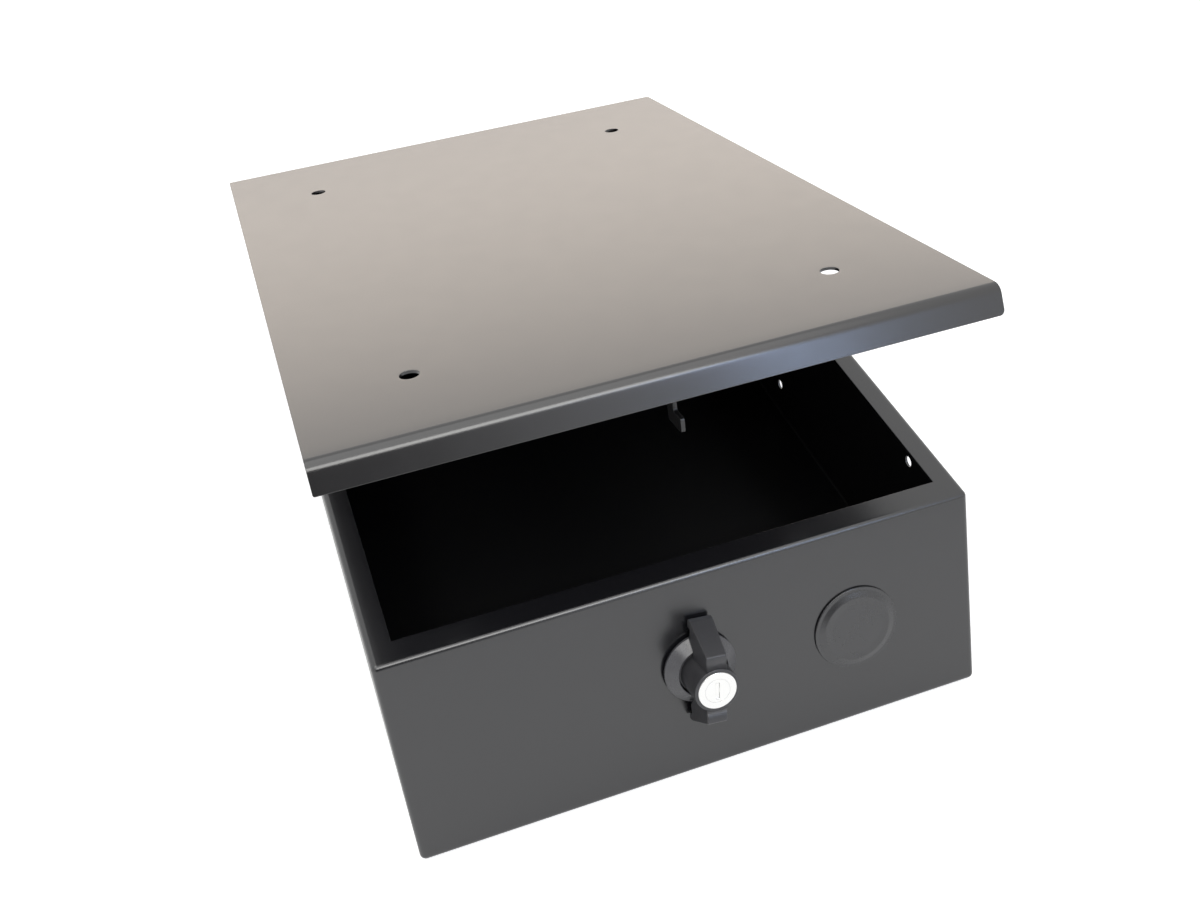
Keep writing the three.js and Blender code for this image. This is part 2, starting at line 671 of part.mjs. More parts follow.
// Wing outline in Y and Z: sloping ends that reach down past the bezel, long edges rolled by a bevel
function wing() {
  const inset = WING_EDGE_RADIUS;
  const base = WING_BASE_LENGTH / 2 - inset;
  const front = WING_FRONT_LENGTH / 2;
  const bottom = bezelBottom + inset;
  const shoulder = bezelBottom + WING_END_THICKNESS - inset;
  const top = WING_HEIGHT - inset;
  const innerFoot = WING_BASE_LENGTH / 2 - WING_FOOT + inset;
  const innerShoulder = HUB_DIAMETER / 2 + FIT_CLEARANCE;
  const bezelRim = BEZEL_DIAMETER / 2;
  const rightHalf = [
    [innerShoulder, overBezel(innerShoulder + BEZEL_LAND, WING_CLEARANCE + inset)],
    [bezelRim, overBezel(bezelRim, WING_CLEARANCE + inset)],
    [innerFoot, bottom + WING_FOOT_DEPTH],
    [innerFoot, bottom],
    [base, bottom],
    [base, shoulder],
    [front, top, WING_CORNER_RADIUS],
  ];
  const leftHalf = rightHalf.map(([y, z, radius]) => [-y, z, radius]).reverse();
  const outline = filletedOutline([...rightHalf, ...leftHalf]);
  const depth = WING_WIDTH - 2 * inset;
  const geometry = new THREE.ExtrudeGeometry(outline, {
    depth,
    curveSegments: FILLET_STEPS,
    bevelEnabled: true,
    bevelThickness: inset,
    bevelSize: inset,
    bevelSegments: 3,
  });
  return solid(alongX(geometry.translate(0, 0, -depth / 2)));
}

function wingKnob() {
  const hubRadius = HUB_DIAMETER / 2;
  const bossRadius = BOSS_DIAMETER / 2;
  const body = solid(turned([
    [0, hubBottom],
    [hubRadius, hubBottom],
    [hubRadius, hubBottom + HUB_THICKNESS],
    [bossRadius, hubBottom + HUB_THICKNESS],
    [bossRadius, KNOB_HEIGHT - BOSS_CHAMFER],
    [bossRadius - BOSS_CHAMFER, KNOB_HEIGHT],
    [0, KNOB_HEIGHT],
  ]));
  const stem = solid(rod(STEM_DIAMETER / 2, SEAT_GAP - CAM_DEPTH, hubBottom + BEZEL_FLOOR));
  const squareHalf = STEM_SQUARE / 2;
  const squareEnd = solid(block(
    -squareHalf, squareHalf, -squareHalf, squareHalf,
    SEAT_GAP - camFar, 0,
  ));
  const tooth = solid(sector(
    hubRadius + STOP_TOOTH_REACH,
    STOP_TOOTH_PLACE - STOP_TOOTH_ANGLE / 2, STOP_TOOTH_PLACE + STOP_TOOTH_ANGLE / 2,
    hubBottom, boltTop,
  ));
  const pocket = solid(rod(SLEEVE_DIAMETER / 2 + FIT_CLEARANCE, pocketFloor, KNOB_HEIGHT + CUT_MARGIN));
  const pinRoom = solid(rod(
    BOLT_THROW + DRIVE_PIN_DIAMETER / 2 + FIT_CLEARANCE, hubBottom, pocketFloor + CUT_MARGIN,
  ));
  const channelHalf = BOLT_WIDTH / 2 + FIT_CLEARANCE;
  const channel = solid(block(
    -channelHalf, channelHalf,
    -BOLT_TAIL - FIT_CLEARANCE, hubRadius + CUT_MARGIN,
    hubBottom - SEAT_GAP, boltTop + FIT_CLEARANCE,
  ).rotateZ(boltTurn));
  const tapping = solid(rod(
    CAM_SCREW_DIAMETER / 2 + FIT_CLEARANCE, -camFar - CUT_MARGIN, -camFar + CAM_SCREW_LENGTH + FIT_CLEARANCE,
    SMALL_ROUND_STEPS,
  ));
  return cut(join(body, stem, squareEnd, tooth, wing()), pocket, pinRoom, channel, tapping);
}

function cylinderSleeve() {
  const outer = SLEEVE_DIAMETER / 2;
  const inner = PLUG_DIAMETER / 2 + PLUG_CLEARANCE;
  return solid(turned([
    [outer, sleeveBottom],
    [outer, sleeveTop - SLEEVE_CHAMFER],
    [outer - SLEEVE_CHAMFER, sleeveTop],
    [inner, sleeveTop],
    [inner, sleeveBottom],
    [outer, sleeveBottom],
  ]));
}

function waferLevel(index) {
  return sleeveTop - WAFER_SETBACK - index * WAFER_PITCH;
}

// Plug with its keyway, wafer slots, clip groove and the off-centre pin that drives the bolt
function keyPlug() {
  const radius = PLUG_DIAMETER / 2;
  const grooveRadius = radius - CLIP_GROOVE;
  const body = solid(turned([
    [0, plugBottom],
    [radius, plugBottom],
    [radius, clipBottom - SEAT_GAP / 3],
    [grooveRadius, clipBottom - SEAT_GAP / 3],
    [grooveRadius, clipTop + SEAT_GAP / 3],
    [radius, clipTop + SEAT_GAP / 3],
    [radius, sleeveTop],
    [0, sleeveTop],
  ]));
  const drivePin = solid(rod(DRIVE_PIN_DIAMETER / 2, boltBottom, plugBottom + CUT_MARGIN, SMALL_ROUND_STEPS)
    .translate(-BOLT_THROW, 0, 0).rotateZ(boltTurn));
  const keywayBottom = waferLevel(WAFER_COUNT) + WAFER_THICKNESS;
  const keyway = solid(block(
    -KEYWAY_WIDTH / 2, KEYWAY_WIDTH / 2, -KEYWAY_HEIGHT / 2, KEYWAY_HEIGHT / 2,
    keywayBottom, sleeveTop + CUT_MARGIN,
  ));
  const slots = [];
  for (let i = 0; i < WAFER_COUNT; i += 1) {
    const half = WAFER_WIDTH / 2 + FIT_CLEARANCE;
    slots.push(solid(block(
      -half, half, -PLUG_DIAMETER, PLUG_DIAMETER,
      waferLevel(i) - WAFER_THICKNESS - FIT_CLEARANCE, waferLevel(i) + FIT_CLEARANCE,
    )));
  }
  return cut(join(body, drivePin), keyway, ...slots);
}

// Flat tumbler with a window for the key, its ends rounded to the plug
function wafer(index) {
  const radius = PLUG_DIAMETER / 2;
  const high = waferLevel(index);
  const low = high - WAFER_THICKNESS;
  const disc = solid(rod(radius, low, high, SMALL_ROUND_STEPS));
  const strip = solid(block(-WAFER_WIDTH / 2, WAFER_WIDTH / 2, -radius, radius, low, high));
  const windowX = WAFER_WIDTH / 2 - WAFER_WALL;
  const windowY = KEYWAY_HEIGHT / 2;
  const opening = solid(block(-windowX, windowX, -windowY, windowY, low - CUT_MARGIN, high + CUT_MARGIN));
  return cut(disc.intersect(strip), opening);
}

function plugClip() {
  const inner = PLUG_DIAMETER / 2 - CLIP_GROOVE + PLUG_CLEARANCE;
  const ring = solid(tube(CLIP_DIAMETER / 2, inner, clipBottom, clipTop));
  const mouthHalf = inner * Math.SQRT1_2;
  const mouth = block(-mouthHalf, mouthHalf, 0, CLIP_DIAMETER, clipBottom - CUT_MARGIN, clipTop + CUT_MARGIN);
  return cut(ring, solid(mouth));
}

// Slider with a cross slot for the plug's pin and a rounded nose
function lockBolt() {
  const half = BOLT_WIDTH / 2;
  const nose = HUB_DIAMETER / 2 - BOLT_SETBACK;
  const pinRadius = DRIVE_PIN_DIAMETER / 2;
  const slider = solid(prism(filletedOutline([
    [-half, -BOLT_TAIL, 1],
    [half, -BOLT_TAIL, 1],
    [half, nose, 1],
    [-half, nose, 1],
  ]), boltBottom, boltTop));
  const slotHalf = pinRadius + BOLT_SLOT_PLAY;
  const slot = solid(block(
    -half - CUT_MARGIN, pinRadius + BOLT_SLOT_PLAY, -slotHalf, slotHalf,
    boltBottom - CUT_MARGIN, boltTop + CUT_MARGIN,
  ));
  return cut(slider, slot).rotate([0, 0, THREE.MathUtils.radToDeg(boltTurn)]);
}

// Hook cam drawn as it stands when locked, arm up and finger right, then turned to its open place
function lockCam() {
  const half = CAM_ARM_WIDTH / 2;
  const arm = solid(prism(filletedOutline([
    [-half, 0],
    [half, 0],
    [half, CAM_LENGTH - CAM_FINGER_HEIGHT, 1.5],
    [CAM_FINGER_REACH, CAM_LENGTH - CAM_FINGER_HEIGHT, 1.5],
    [CAM_FINGER_REACH, CAM_LENGTH, 3],
    [-half, CAM_LENGTH, 5],
  ]), -camFar, -CAM_DEPTH));
  const hub = solid(rod(CAM_HUB_DIAMETER / 2, -camFar, -CAM_DEPTH));
  const holeHalf = STEM_SQUARE / 2 + FIT_CLEARANCE;
  const hole = solid(block(
    -holeHalf, holeHalf, -holeHalf, holeHalf, -camFar - CUT_MARGIN, -CAM_DEPTH + CUT_MARGIN,
  ));
  return cut(join(arm, hub), hole).rotate([0, 0, THREE.MathUtils.radToDeg(KNOB_TURN)]);
}

function camWasher() {
  const top = -camFar - SEAT_GAP;
  return solid(tube(
    CAM_WASHER_DIAMETER / 2, CAM_SCREW_DIAMETER / 2 + FIT_CLEARANCE, top - CAM_WASHER_THICKNESS, top, SMALL_ROUND_STEPS,
  ));
}

function camScrew() {
  const headTop = -camFar - CAM_WASHER_THICKNESS - 2 * SEAT_GAP;
  const headBottom = headTop - CAM_SCREW_HEAD_HEIGHT;
  const headRadius = CAM_SCREW_HEAD_DIAMETER / 2;
  const body = solid(turned([
    [0, headBottom],
    [headRadius - SLEEVE_CHAMFER, headBottom],
    [headRadius, headBottom + SLEEVE_CHAMFER],
    [headRadius, headTop],
    [CAM_SCREW_DIAMETER / 2, headTop],
    [CAM_SCREW_DIAMETER / 2, -camFar + CAM_SCREW_LENGTH],
    [0, -camFar + CAM_SCREW_LENGTH],
  ], SMALL_ROUND_STEPS));
  return body;
}

// Push-in cap with a dished face and a slotted skirt whose bead catches behind the wall
function holePlug() {
  const rim = CAP_DIAMETER / 2;
  const dish = CAP_DISH_DIAMETER / 2;
  const skirtOuter = CAP_SKIRT_DIAMETER / 2;
  const skirtInner = skirtOuter - CAP_SKIRT_WALL;
  const faceTop = SEAT_GAP + CAP_HEIGHT;
  const faceBottom = SEAT_GAP;
  const edge = CAP_HEIGHT * 0.6;
  const beadTop = -BOX_SHEET - SEAT_GAP;
  const skirtEnd = -CAP_SKIRT_LENGTH;
  const rollCentre = faceTop - edge;
  const roll = foldAngles(0, Math.PI / 2).map((angle) => [
    rim - edge + edge * Math.cos(angle),
    rollCentre + edge * Math.sin(angle),
  ]);
  const body = solid(turned([
    [0, faceBottom],
    [skirtInner, faceBottom],
    [skirtInner, skirtEnd],
    [skirtOuter - CAP_BEAD, skirtEnd],
    [skirtOuter + CAP_BEAD, beadTop - CAP_BEAD],
    [skirtOuter + CAP_BEAD, beadTop],
    [skirtOuter, beadTop],
    [skirtOuter, faceBottom],
    [rim, faceBottom],
    ...roll,
    [dish + CAP_DISH_DEPTH, faceTop],
    [dish, faceTop - CAP_DISH_DEPTH],
    [0, faceTop - CAP_DISH_DEPTH],
  ]));
  const slots = [];
  for (let i = 0; i < CAP_SLOTS; i += 1) {
    const slot = block(
      skirtInner - CUT_MARGIN, skirtOuter + 2 * CAP_BEAD,
      -CAP_SLOT_WIDTH / 2, CAP_SLOT_WIDTH / 2,
      skirtEnd - CUT_MARGIN, -BOX_SHEET,
    );
    slots.push(solid(slot.rotateZ((2 * Math.PI * i) / CAP_SLOTS)));
  }
  return cut(body, ...slots);
}

const consoleLockBox = new THREE.Group();
addPiece(consoleLockBox, 'box_shell', boxShell(), matteSteel);
consoleLockBox.add(frontFrame);

const hingeFrame = new THREE.Group();
hingeFrame.position.set(0, pivotY, pivotZ);
consoleLockBox.add(hingeFrame);
addPiece(hingeFrame, 'hinge_leaf_box', hingeLeafBox(), matteSteel);
addPiece(hingeFrame, 'hinge_pin', hingePin(), zincPlating);

const lidFrame = new THREE.Group();
lidFrame.rotation.x = -LID_OPEN_ANGLE;
hingeFrame.add(lidFrame);
addPiece(lidFrame, 'lid_panel', lidPanel(), matteSteel);
addPiece(lidFrame, 'lid_keeper', lidKeeper(), matteSteel);
addPiece(lidFrame, 'hinge_leaf_lid', hingeLeafLid(), matteSteel);

addPiece(lockFrame, 'lock_gasket', lockGasket(), blackRubber);
addPiece(lockFrame, 'lock_housing', lockHousing(), darkCasting);
addPiece(lockFrame, 'lock_washer', lockWasher(), zincPlating);
addPiece(lockFrame, 'lock_nut', lockNut(), zincPlating);
addPiece(knobFrame, 'wing_knob', wingKnob(), blackPlastic);
addPiece(knobFrame, 'cylinder_sleeve', cylinderSleeve(), brightPlating);
addPiece(knobFrame, 'key_plug', keyPlug(), brightPlating);
for (let i = 0; i < WAFER_COUNT; i += 1) {
  addPiece(knobFrame, `wafer_${i + 1}`, wafer(i), brass);
}
addPiece(knobFrame, 'plug_clip', plugClip(), zincPlating);
addPiece(knobFrame, 'lock_bolt', lockBolt(), zincPlating);
addPiece(knobFrame, 'lock_cam', lockCam(), zincPlating);
addPiece(knobFrame, 'cam_washer', camWasher(), zincPlating);
addPiece(knobFrame, 'cam_screw', camScrew(), zincPlating);

addPiece(plugFrame, 'hole_plug', holePlug(), blackPlastic);

export default consoleLockBox;
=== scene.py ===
"""Console lock box: a folded steel tray, a hinged steel lid and a wing-knob key lock.

Sizes are in millimetres and become metres when a mesh is made. The frame is the CAD model's
own: +X right, +Y from the lock towards the hinge, +Z up, and the origin in the middle of the
base's underside. Outlines and profiles are lists of corners, and the third number of a corner
is the radius of its rounding.
"""

import json
import logging
import math
from dataclasses import dataclass
from enum import Enum
from typing import Iterable, Sequence

import bmesh
import bpy
import numpy as np
from mathutils import Matrix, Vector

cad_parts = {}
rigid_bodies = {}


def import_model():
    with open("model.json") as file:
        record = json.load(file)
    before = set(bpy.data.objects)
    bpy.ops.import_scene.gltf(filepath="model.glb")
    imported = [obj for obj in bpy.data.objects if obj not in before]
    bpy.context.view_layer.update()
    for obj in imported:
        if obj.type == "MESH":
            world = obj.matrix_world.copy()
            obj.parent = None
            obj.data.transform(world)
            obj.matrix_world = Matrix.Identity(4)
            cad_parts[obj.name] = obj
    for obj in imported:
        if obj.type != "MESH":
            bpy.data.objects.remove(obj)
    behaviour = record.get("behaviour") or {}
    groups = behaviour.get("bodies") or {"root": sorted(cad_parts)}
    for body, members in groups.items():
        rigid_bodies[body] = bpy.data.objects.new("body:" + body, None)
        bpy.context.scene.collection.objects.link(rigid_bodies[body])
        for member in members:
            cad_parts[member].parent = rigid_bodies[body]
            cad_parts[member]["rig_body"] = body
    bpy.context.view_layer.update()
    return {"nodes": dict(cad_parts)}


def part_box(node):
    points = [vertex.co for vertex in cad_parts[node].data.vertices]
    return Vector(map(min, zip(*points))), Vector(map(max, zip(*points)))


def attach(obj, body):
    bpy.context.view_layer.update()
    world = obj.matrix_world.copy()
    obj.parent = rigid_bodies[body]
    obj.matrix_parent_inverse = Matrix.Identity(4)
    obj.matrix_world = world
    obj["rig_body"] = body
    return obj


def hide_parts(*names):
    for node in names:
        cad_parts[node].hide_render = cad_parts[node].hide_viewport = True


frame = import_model()

log = logging.getLogger("lock_box")

MM = 0.001
WELD_DISTANCE = 1e-6
FLAT_ANGLE = math.radians(0.5)
BEVEL_STEPS = 2
SHADING_WEIGHT = 50
TINY = 1e-6
PICK = 0.01
UP = np.array([0.0, 0.0, 1.0])
DOWN = -UP
RIGHT = np.array([1.0, 0.0, 0.0])
BACK = np.array([0.0, 1.0, 0.0])


class Body(Enum):
    """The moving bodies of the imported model."""

    BOX = "box"
    LID = "lid"
    KNOB = "knob"
    KEY = "key_cylinder"
    BOLT = "bolt"


def runs(stops: Sequence[float], steps: Sequence[int]) -> np.ndarray:
    """Gives evenly spaced values within each stretch between stops.

    Args:
        stops: The ends of the stretches, in order.
        steps: The number of steps in each stretch.

    Returns:
        All values once, both ends included.
    """
    parts = [np.linspace(a, b, n, endpoint=False) for a, b, n in zip(stops, stops[1:], steps)]
    return np.concatenate([*parts, [stops[-1]]])


def turn_between(first: np.ndarray, second: np.ndarray, share: np.ndarray) -> np.ndarray:
    """Turns unit directions evenly into others along the shorter great circle.

    A direction at share t is (sin((1-t)w) a + sin(tw) b) / sin(w), where w is the angle between.

    Args:
        first: Directions at share 0, shaped (..., 3).
        second: Directions at share 1, shaped (..., 3).
        share: The shares, shaped (n,).

    Returns:
        Directions shaped (n, ..., 3).
    """
    first, second = np.broadcast_arrays(first, second)
    angle = np.arccos(np.clip((first * second).sum(-1, keepdims=True), -1, 1))
    t = share.reshape((-1,) + (1,) * first.ndim)
    return (np.sin((1 - t) * angle) * first + np.sin(t * angle) * second) / np.sin(angle)


def nearest(values: np.ndarray, *places: float) -> tuple[int, ...]:
    """Numbers of the values that lie nearest to places."""
    return tuple(int(np.argmin(np.abs(values - place))) for place in places)


def filleted(
    corners: Sequence[tuple[float, float, float]], steps: int = 6, closed: bool = True,
) -> np.ndarray:
    """Rounds the corners of a flat outline with arcs.

    An arc's ends lie radius / tan(half the corner's angle) from the corner, and its centre
    radius / sin(half the angle) along the bisector.

    Args:
        corners: Corner points, each (x, y, radius).
        steps: Steps in each arc.
        closed: Whether the outline closes on itself. An open one keeps its end points.

    Returns:
        Outline points shaped (n, 2).
    """
    points = np.array([corner[:2] for corner in corners], float)
    parts = []
    for i, (x, y, radius) in enumerate(corners):
        if radius <= 0 or (not closed and i in (0, len(corners) - 1)):
            parts.append(points[i:i + 1])
            continue
        before = points[i - 1] - points[i]
        after = points[(i + 1) % len(points)] - points[i]
        before /= np.linalg.norm(before)
        after /= np.linalg.norm(after)
        half = np.arccos(np.clip(before @ after, -1, 1)) / 2
        bisector = (before + after) / np.linalg.norm(before + after)
        centre = points[i] + bisector * radius / np.sin(half)
        reach = radius / np.tan(half)
        start = (points[i] + before * reach - centre) / radius
        end = (points[i] + after * reach - centre) / radius
        parts.append(centre + radius * turn_between(start, end, np.linspace(0, 1, steps + 1)))
    return np.concatenate(parts)


def inset(outline: np.ndarray, distance: np.ndarray) -> np.ndarray:
    """Moves a closed outline inwards by mitring its neighbouring edges.

    Each point moves along the sum of its two edge normals, divided by one plus their cosine.

    Args:
        outline: Counter-clockwise points shaped (n, 2).
        distance: Distances shaped (m,).

    Returns:
        Outlines shaped (m, n, 2).
    """
    edge = np.roll(outline, -1, 0) - outline
    edge /= np.linalg.norm(edge, axis=1, keepdims=True)
    normal = np.stack([-edge[:, 1], edge[:, 0]], 1)
    other = np.roll(normal, 1, 0)
    miter = (normal + other) / (1 + (normal * other).sum(1, keepdims=True))
    return outline + distance[:, None, None] * miter


def quads(rows: int, columns: int, wrap_rows: bool, wrap_columns: bool) -> np.ndarray:
    """Numbers the corners of a grid's cells.

    Args:
        rows: Rows of points.
        columns: Columns of points.
        wrap_rows: Whether the last row joins the first.
        wrap_columns: Whether the last column joins the first.

    Returns:
        Point numbers shaped (row cells, column cells, 4).
    """
    number = np.arange(rows * columns).reshape(rows, columns)
    if wrap_rows:
        number = np.vstack([number, number[:1]])
    if wrap_columns:
        number = np.hstack([number, number[:, :1]])
    return np.stack([number[:-1, :-1], number[:-1, 1:], number[1:, 1:], number[1:, :-1]], -1)


@dataclass(frozen=True)
class Place:
    """A frame in the box: an origin and three unit axes as rows."""

    origin: np.ndarray
    axes: np.ndarray

    def put(self, points: np.ndarray) -> np.ndarray:
        """Turns local points into points of the box."""
        return self.origin + points @ self.axes

    def shifted(self, x: float, y: float) -> "Place":
        """Moves the frame along its own first two axes."""
        return Place(self.put(np.array([x, y, 0.0])), self.axes)

    def turned(self, angle: float) -> "Place":
        """Turns the frame about its own third axis, counter-clockwise from above."""
        cos, sin = math.cos(angle), math.sin(angle)
        return Place(self.origin, np.array([[cos, sin, 0], [-sin, cos, 0], [0, 0, 1]]) @ self.axes)


@dataclass(frozen=True)
class Hole:
    """A round or flatted hole that takes the place of a block of grid cells."""

    rows: tuple[int, int]
    columns: tuple[int, int]
    centre: np.ndarray
    across: np.ndarray
    up: np.ndarray
    radius: float
    half_flats: float = math.inf
    rings: int = 4

    def border(self) -> tuple[np.ndarray, np.ndarray]:
        """Walks once around the block.

        Returns:
            The row and the column numbers of its border points.
        """
        (low, high), (left, right) = self.rows, self.columns
        up, over = np.arange(low, high), np.arange(left, right)
        rows = [low + 0 * over, up, high + 0 * over, up[::-1] + 1]
        columns = [over, right + 0 * up, over[::-1] + 1, left + 0 * up]
        return np.concatenate(rows), np.concatenate(columns)

    def patch(self, surface: np.ndarray) -> np.ndarray:
        """Blends the block's border evenly into the hole's edge, in rings.

        Args:
            surface: The grid, shaped (rows, columns, 3).

        Returns:
            Points shaped (rings + 1, around, 3).
        """
        edge = surface[self.border()]
        offset = edge - self.centre
        angle = np.arctan2(offset @ self.up, offset @ self.across)
        across = np.clip(self.radius * np.cos(angle), -self.half_flats, self.half_flats)
        rise = self.radius * np.sin(angle)
        inner = self.centre + across[:, None] * self.across + rise[:, None] * self.up
        share = np.linspace(0, 1, self.rings + 1)[:, None, None]
        return edge * (1 - share) + inner * share


def add_object(name: str, data: bpy.types.ID) -> bpy.types.Object:
    """Adds an object to the scene, at the origin.

    Args:
        name: Its name.
        data: Its mesh, lamp or camera.

    Returns:
        The object.
    """
    added = bpy.data.objects.new(name, data)
    bpy.context.scene.collection.objects.link(added)
    return added


def add_smooth(name: str, mesh: bpy.types.Mesh) -> bpy.types.Object:
    """Adds a mesh as a smoothly shaded object."""
    mesh.polygons.foreach_set("use_smooth", np.ones(len(mesh.polygons), bool))
    return add_object(name, mesh)


class Skin:
    """Faces gathered in millimetres, welded where points meet, and made into one object."""

    def __init__(self) -> None:
        """Starts with no faces."""
        self._points: list[np.ndarray] = []
        self._faces: list[np.ndarray] = []
        self._count = 0

    def add(self, points: np.ndarray, faces: np.ndarray) -> None:
        """Adds points and the faces that number them.

        Args:
            points: Points shaped (..., 3).
            faces: Point numbers shaped (..., corners).
        """
        points = points.reshape(-1, 3)
        self._points.append(points)
        self._faces.append(faces.reshape(-1, faces.shape[-1]) + self._count)
        self._count += len(points)

    def grid(
        self,
        surface: np.ndarray,
        wrap_rows: bool = False,
        wrap_columns: bool = False,
        keep: np.ndarray | None = None,
        holes: Iterable[Hole] = (),
    ) -> None:
        """Adds a grid surface, with blocks of cells left out or replaced by holes.

        Args:
            surface: Points shaped (rows, columns, 3).
            wrap_rows: Whether the last row joins the first.
            wrap_columns: Whether the last column joins the first.
            keep: Which cells stay, shaped as the cells are.
            holes: The holes in it.
        """
        cells = quads(*surface.shape[:2], wrap_rows, wrap_columns)
        stays = np.ones(cells.shape[:2], bool) if keep is None else keep.copy()
        for hole in holes:
            stays[slice(*hole.rows), slice(*hole.columns)] = False
            self.grid(hole.patch(surface), wrap_columns=True)
        self.add(surface, cells[stays])

    def turn(self, place: Place, profile: np.ndarray, steps: int = 96, ring: bool = False) -> None:
        """Adds a profile turned about a frame's third axis. A ring's profile closes on itself."""
        self.grid(place.put(lathe(profile, steps)), wrap_rows=ring, wrap_columns=True)

    def solid_rows(self, surface: np.ndarray) -> None:
        """Adds rows that close around, with the first and last row filled.

        Args:
            surface: Points shaped (rows, around, 3).
        """
        self.grid(surface, wrap_columns=True)
        around = np.arange(surface.shape[1])
        self.add(surface[0], around[None, ::-1])
        self.add(surface[-1], around[None])

    def build(self, name: str, inside: np.ndarray | None = None) -> bpy.types.Object:
        """Makes the object, with its faces pointing outwards.

        Args:
            name: The piece's name.
            inside: For an open sheet, a point behind its faces.

        Returns:
            The linked object, at the origin.
        """
        mesh = bpy.data.meshes.new(name)
        faces = [face for block in self._faces for face in block.tolist()]
        mesh.from_pydata((np.concatenate(self._points) * MM).tolist(), [], faces)
        shell = bmesh.new()
        shell.from_mesh(mesh)
        bmesh.ops.remove_doubles(shell, verts=shell.verts, dist=WELD_DISTANCE)
        bmesh.ops.recalc_face_normals(shell, faces=shell.faces)
        shell.to_mesh(mesh)
        shell.free()
        if inside is not None:
            self._face_away(mesh, inside * MM)
        mesh.update()
        return add_smooth(name, mesh)

    @staticmethod
    def _face_away(mesh: bpy.types.Mesh, point: np.ndarray) -> None:
        """Flips an open sheet whose faces look towards a point, by their summed area.

        Args:
            mesh: The sheet.
            point: The point behind it, in metres.
        """
        count = len(mesh.polygons)
        centres, normals, areas = np.zeros(3 * count), np.zeros(3 * count), np.zeros(count)
        mesh.polygons.foreach_get("center", centres)
        mesh.polygons.foreach_get("normal", normals)
        mesh.polygons.foreach_get("area", areas)
        facing = ((centres.reshape(-1, 3) - point) * normals.reshape(-1, 3)).sum(1) @ areas
        if facing < 0:
            mesh.flip_normals()


def lathe(
    profile: np.ndarray, steps: int = 96, start: float = 0.0, stop: float = 2 * math.pi,
) -> np.ndarray:
    """Turns a profile about the local third axis: (r cos a, r sin a, z).

    Args:
        profile: Points (radius, level) shaped (n, 2).
        steps: Steps around.
        start: First angle.
        stop: Last angle, left out when the turn is whole.

    Returns:
        Points shaped (n, around, 3).
    """
    whole = math.isclose(stop - start, 2 * math.pi)
    angle = np.linspace(start, stop, steps + (0 if whole else 1), endpoint=not whole)
    radius, level = profile[:, :1], profile[:, 1:]
    return np.stack([radius * np.cos(angle), radius * np.sin(angle), level + 0 * angle], -1)


def rod(radius: float, start: float, end: float, *edges: float) -> np.ndarray:
    """Profile of a solid rod between two levels, with a rounding at each end."""
    corners = [(0, start, 0), (radius, start, edges[0]), (radius, end, edges[1]), (0, end, 0)]
    return filleted(corners, closed=False)


def polar(surface: np.ndarray) -> tuple[np.ndarray, np.ndarray, np.ndarray]:
    """Radius, angle and level of points about the local third axis."""
    x, y, level = np.moveaxis(surface, -1, 0)
    return np.hypot(x, y), np.arctan2(y, x), level


def along_x(rows: np.ndarray) -> np.ndarray:
    """Lays turned rows along the local first axis: (x, y, z) becomes (z, x, y)."""
    return rows[..., [2, 0, 1]]


def slab_levels(
    low: float, high: float, rounding: float, steps: int = 4,
) -> tuple[np.ndarray, np.ndarray]:
    """Levels and insets of a slab whose edges are rolled by quarter circles.

    Args:
        low: Lower level.
        high: Upper level.
        rounding: Radius of the rolled edges.
        steps: Steps in each quarter.

    Returns:
        Levels and the inset at each.
    """
    angle = np.linspace(0, np.pi / 2, steps + 1)
    rise, drawn = rounding * (1 - np.cos(angle)), rounding * (1 - np.sin(angle))
    levels = np.concatenate([low + rise, (high - rise)[::-1]])
    return levels, np.concatenate([drawn, drawn[::-1]])


def slab(outline: np.ndarray, low: float, high: float, rounding: float) -> np.ndarray:
    """Carries a counter-clockwise outline between two levels, its end edges rolled.

    Args:
        outline: Points shaped (n, 2).
        low: Lower level.
        high: Upper level.
        rounding: Radius of the rolled edges.

    Returns:
        Rows for Skin.solid_rows, shaped (m, n, 3).
    """
    levels, drawn = slab_levels(low, high, rounding)
    flat = inset(outline, drawn)
    height = np.broadcast_to(levels[:, None, None], flat.shape[:2] + (1,))
    return np.concatenate([flat, height], -1)


def rectangle(
    low_x: float, high_x: float, low_y: float, high_y: float, radius: float,
) -> np.ndarray:
    """Outline of a rectangle with rounded corners, counter-clockwise."""
    corners = [(low_x, low_y), (high_x, low_y), (high_x, high_y), (low_x, high_y)]
    return filleted([(x, y, radius) for x, y in corners], steps=4)


def roll_edges(piece: bpy.types.Object, width: float, limit: float = 40.0) -> None:
    """Bevels a piece's sharp edges and evens its shading.

    Args:
        piece: The piece.
        width: Bevel width in millimetres.
        limit: Edges sharper than this many degrees are bevelled.
    """
    bevel = piece.modifiers.new("rolled_edges", "BEVEL")
    bevel.width = width * MM
    bevel.segments = BEVEL_STEPS
    bevel.limit_method = "ANGLE"
    bevel.angle_limit = math.radians(limit)
    bevel.use_clamp_overlap = True
    even_shading(piece)


def even_shading(piece: bpy.types.Object) -> None:
    """Lets large faces lead the shading of their edges.

    Args:
        piece: The piece.
    """
    weighted = piece.modifiers.new("even_shading", "WEIGHTED_NORMAL")
    weighted.keep_sharp = False
    weighted.weight = SHADING_WEIGHT


def thicken(piece: bpy.types.Object, thickness: float, inner_slot: int = 0) -> None:
    """Gives a sheet its metal thickness, behind its outer face.

    Args:
        piece: The sheet.
        thickness: Thickness in millimetres.
        inner_slot: Steps in the material list from the outer to the inner face.
    """
    wall = piece.modifiers.new("sheet_thickness", "SOLIDIFY")
    wall.thickness = thickness * MM
    wall.offset = -1
    wall.use_even_offset = True
    wall.material_offset = inner_slot


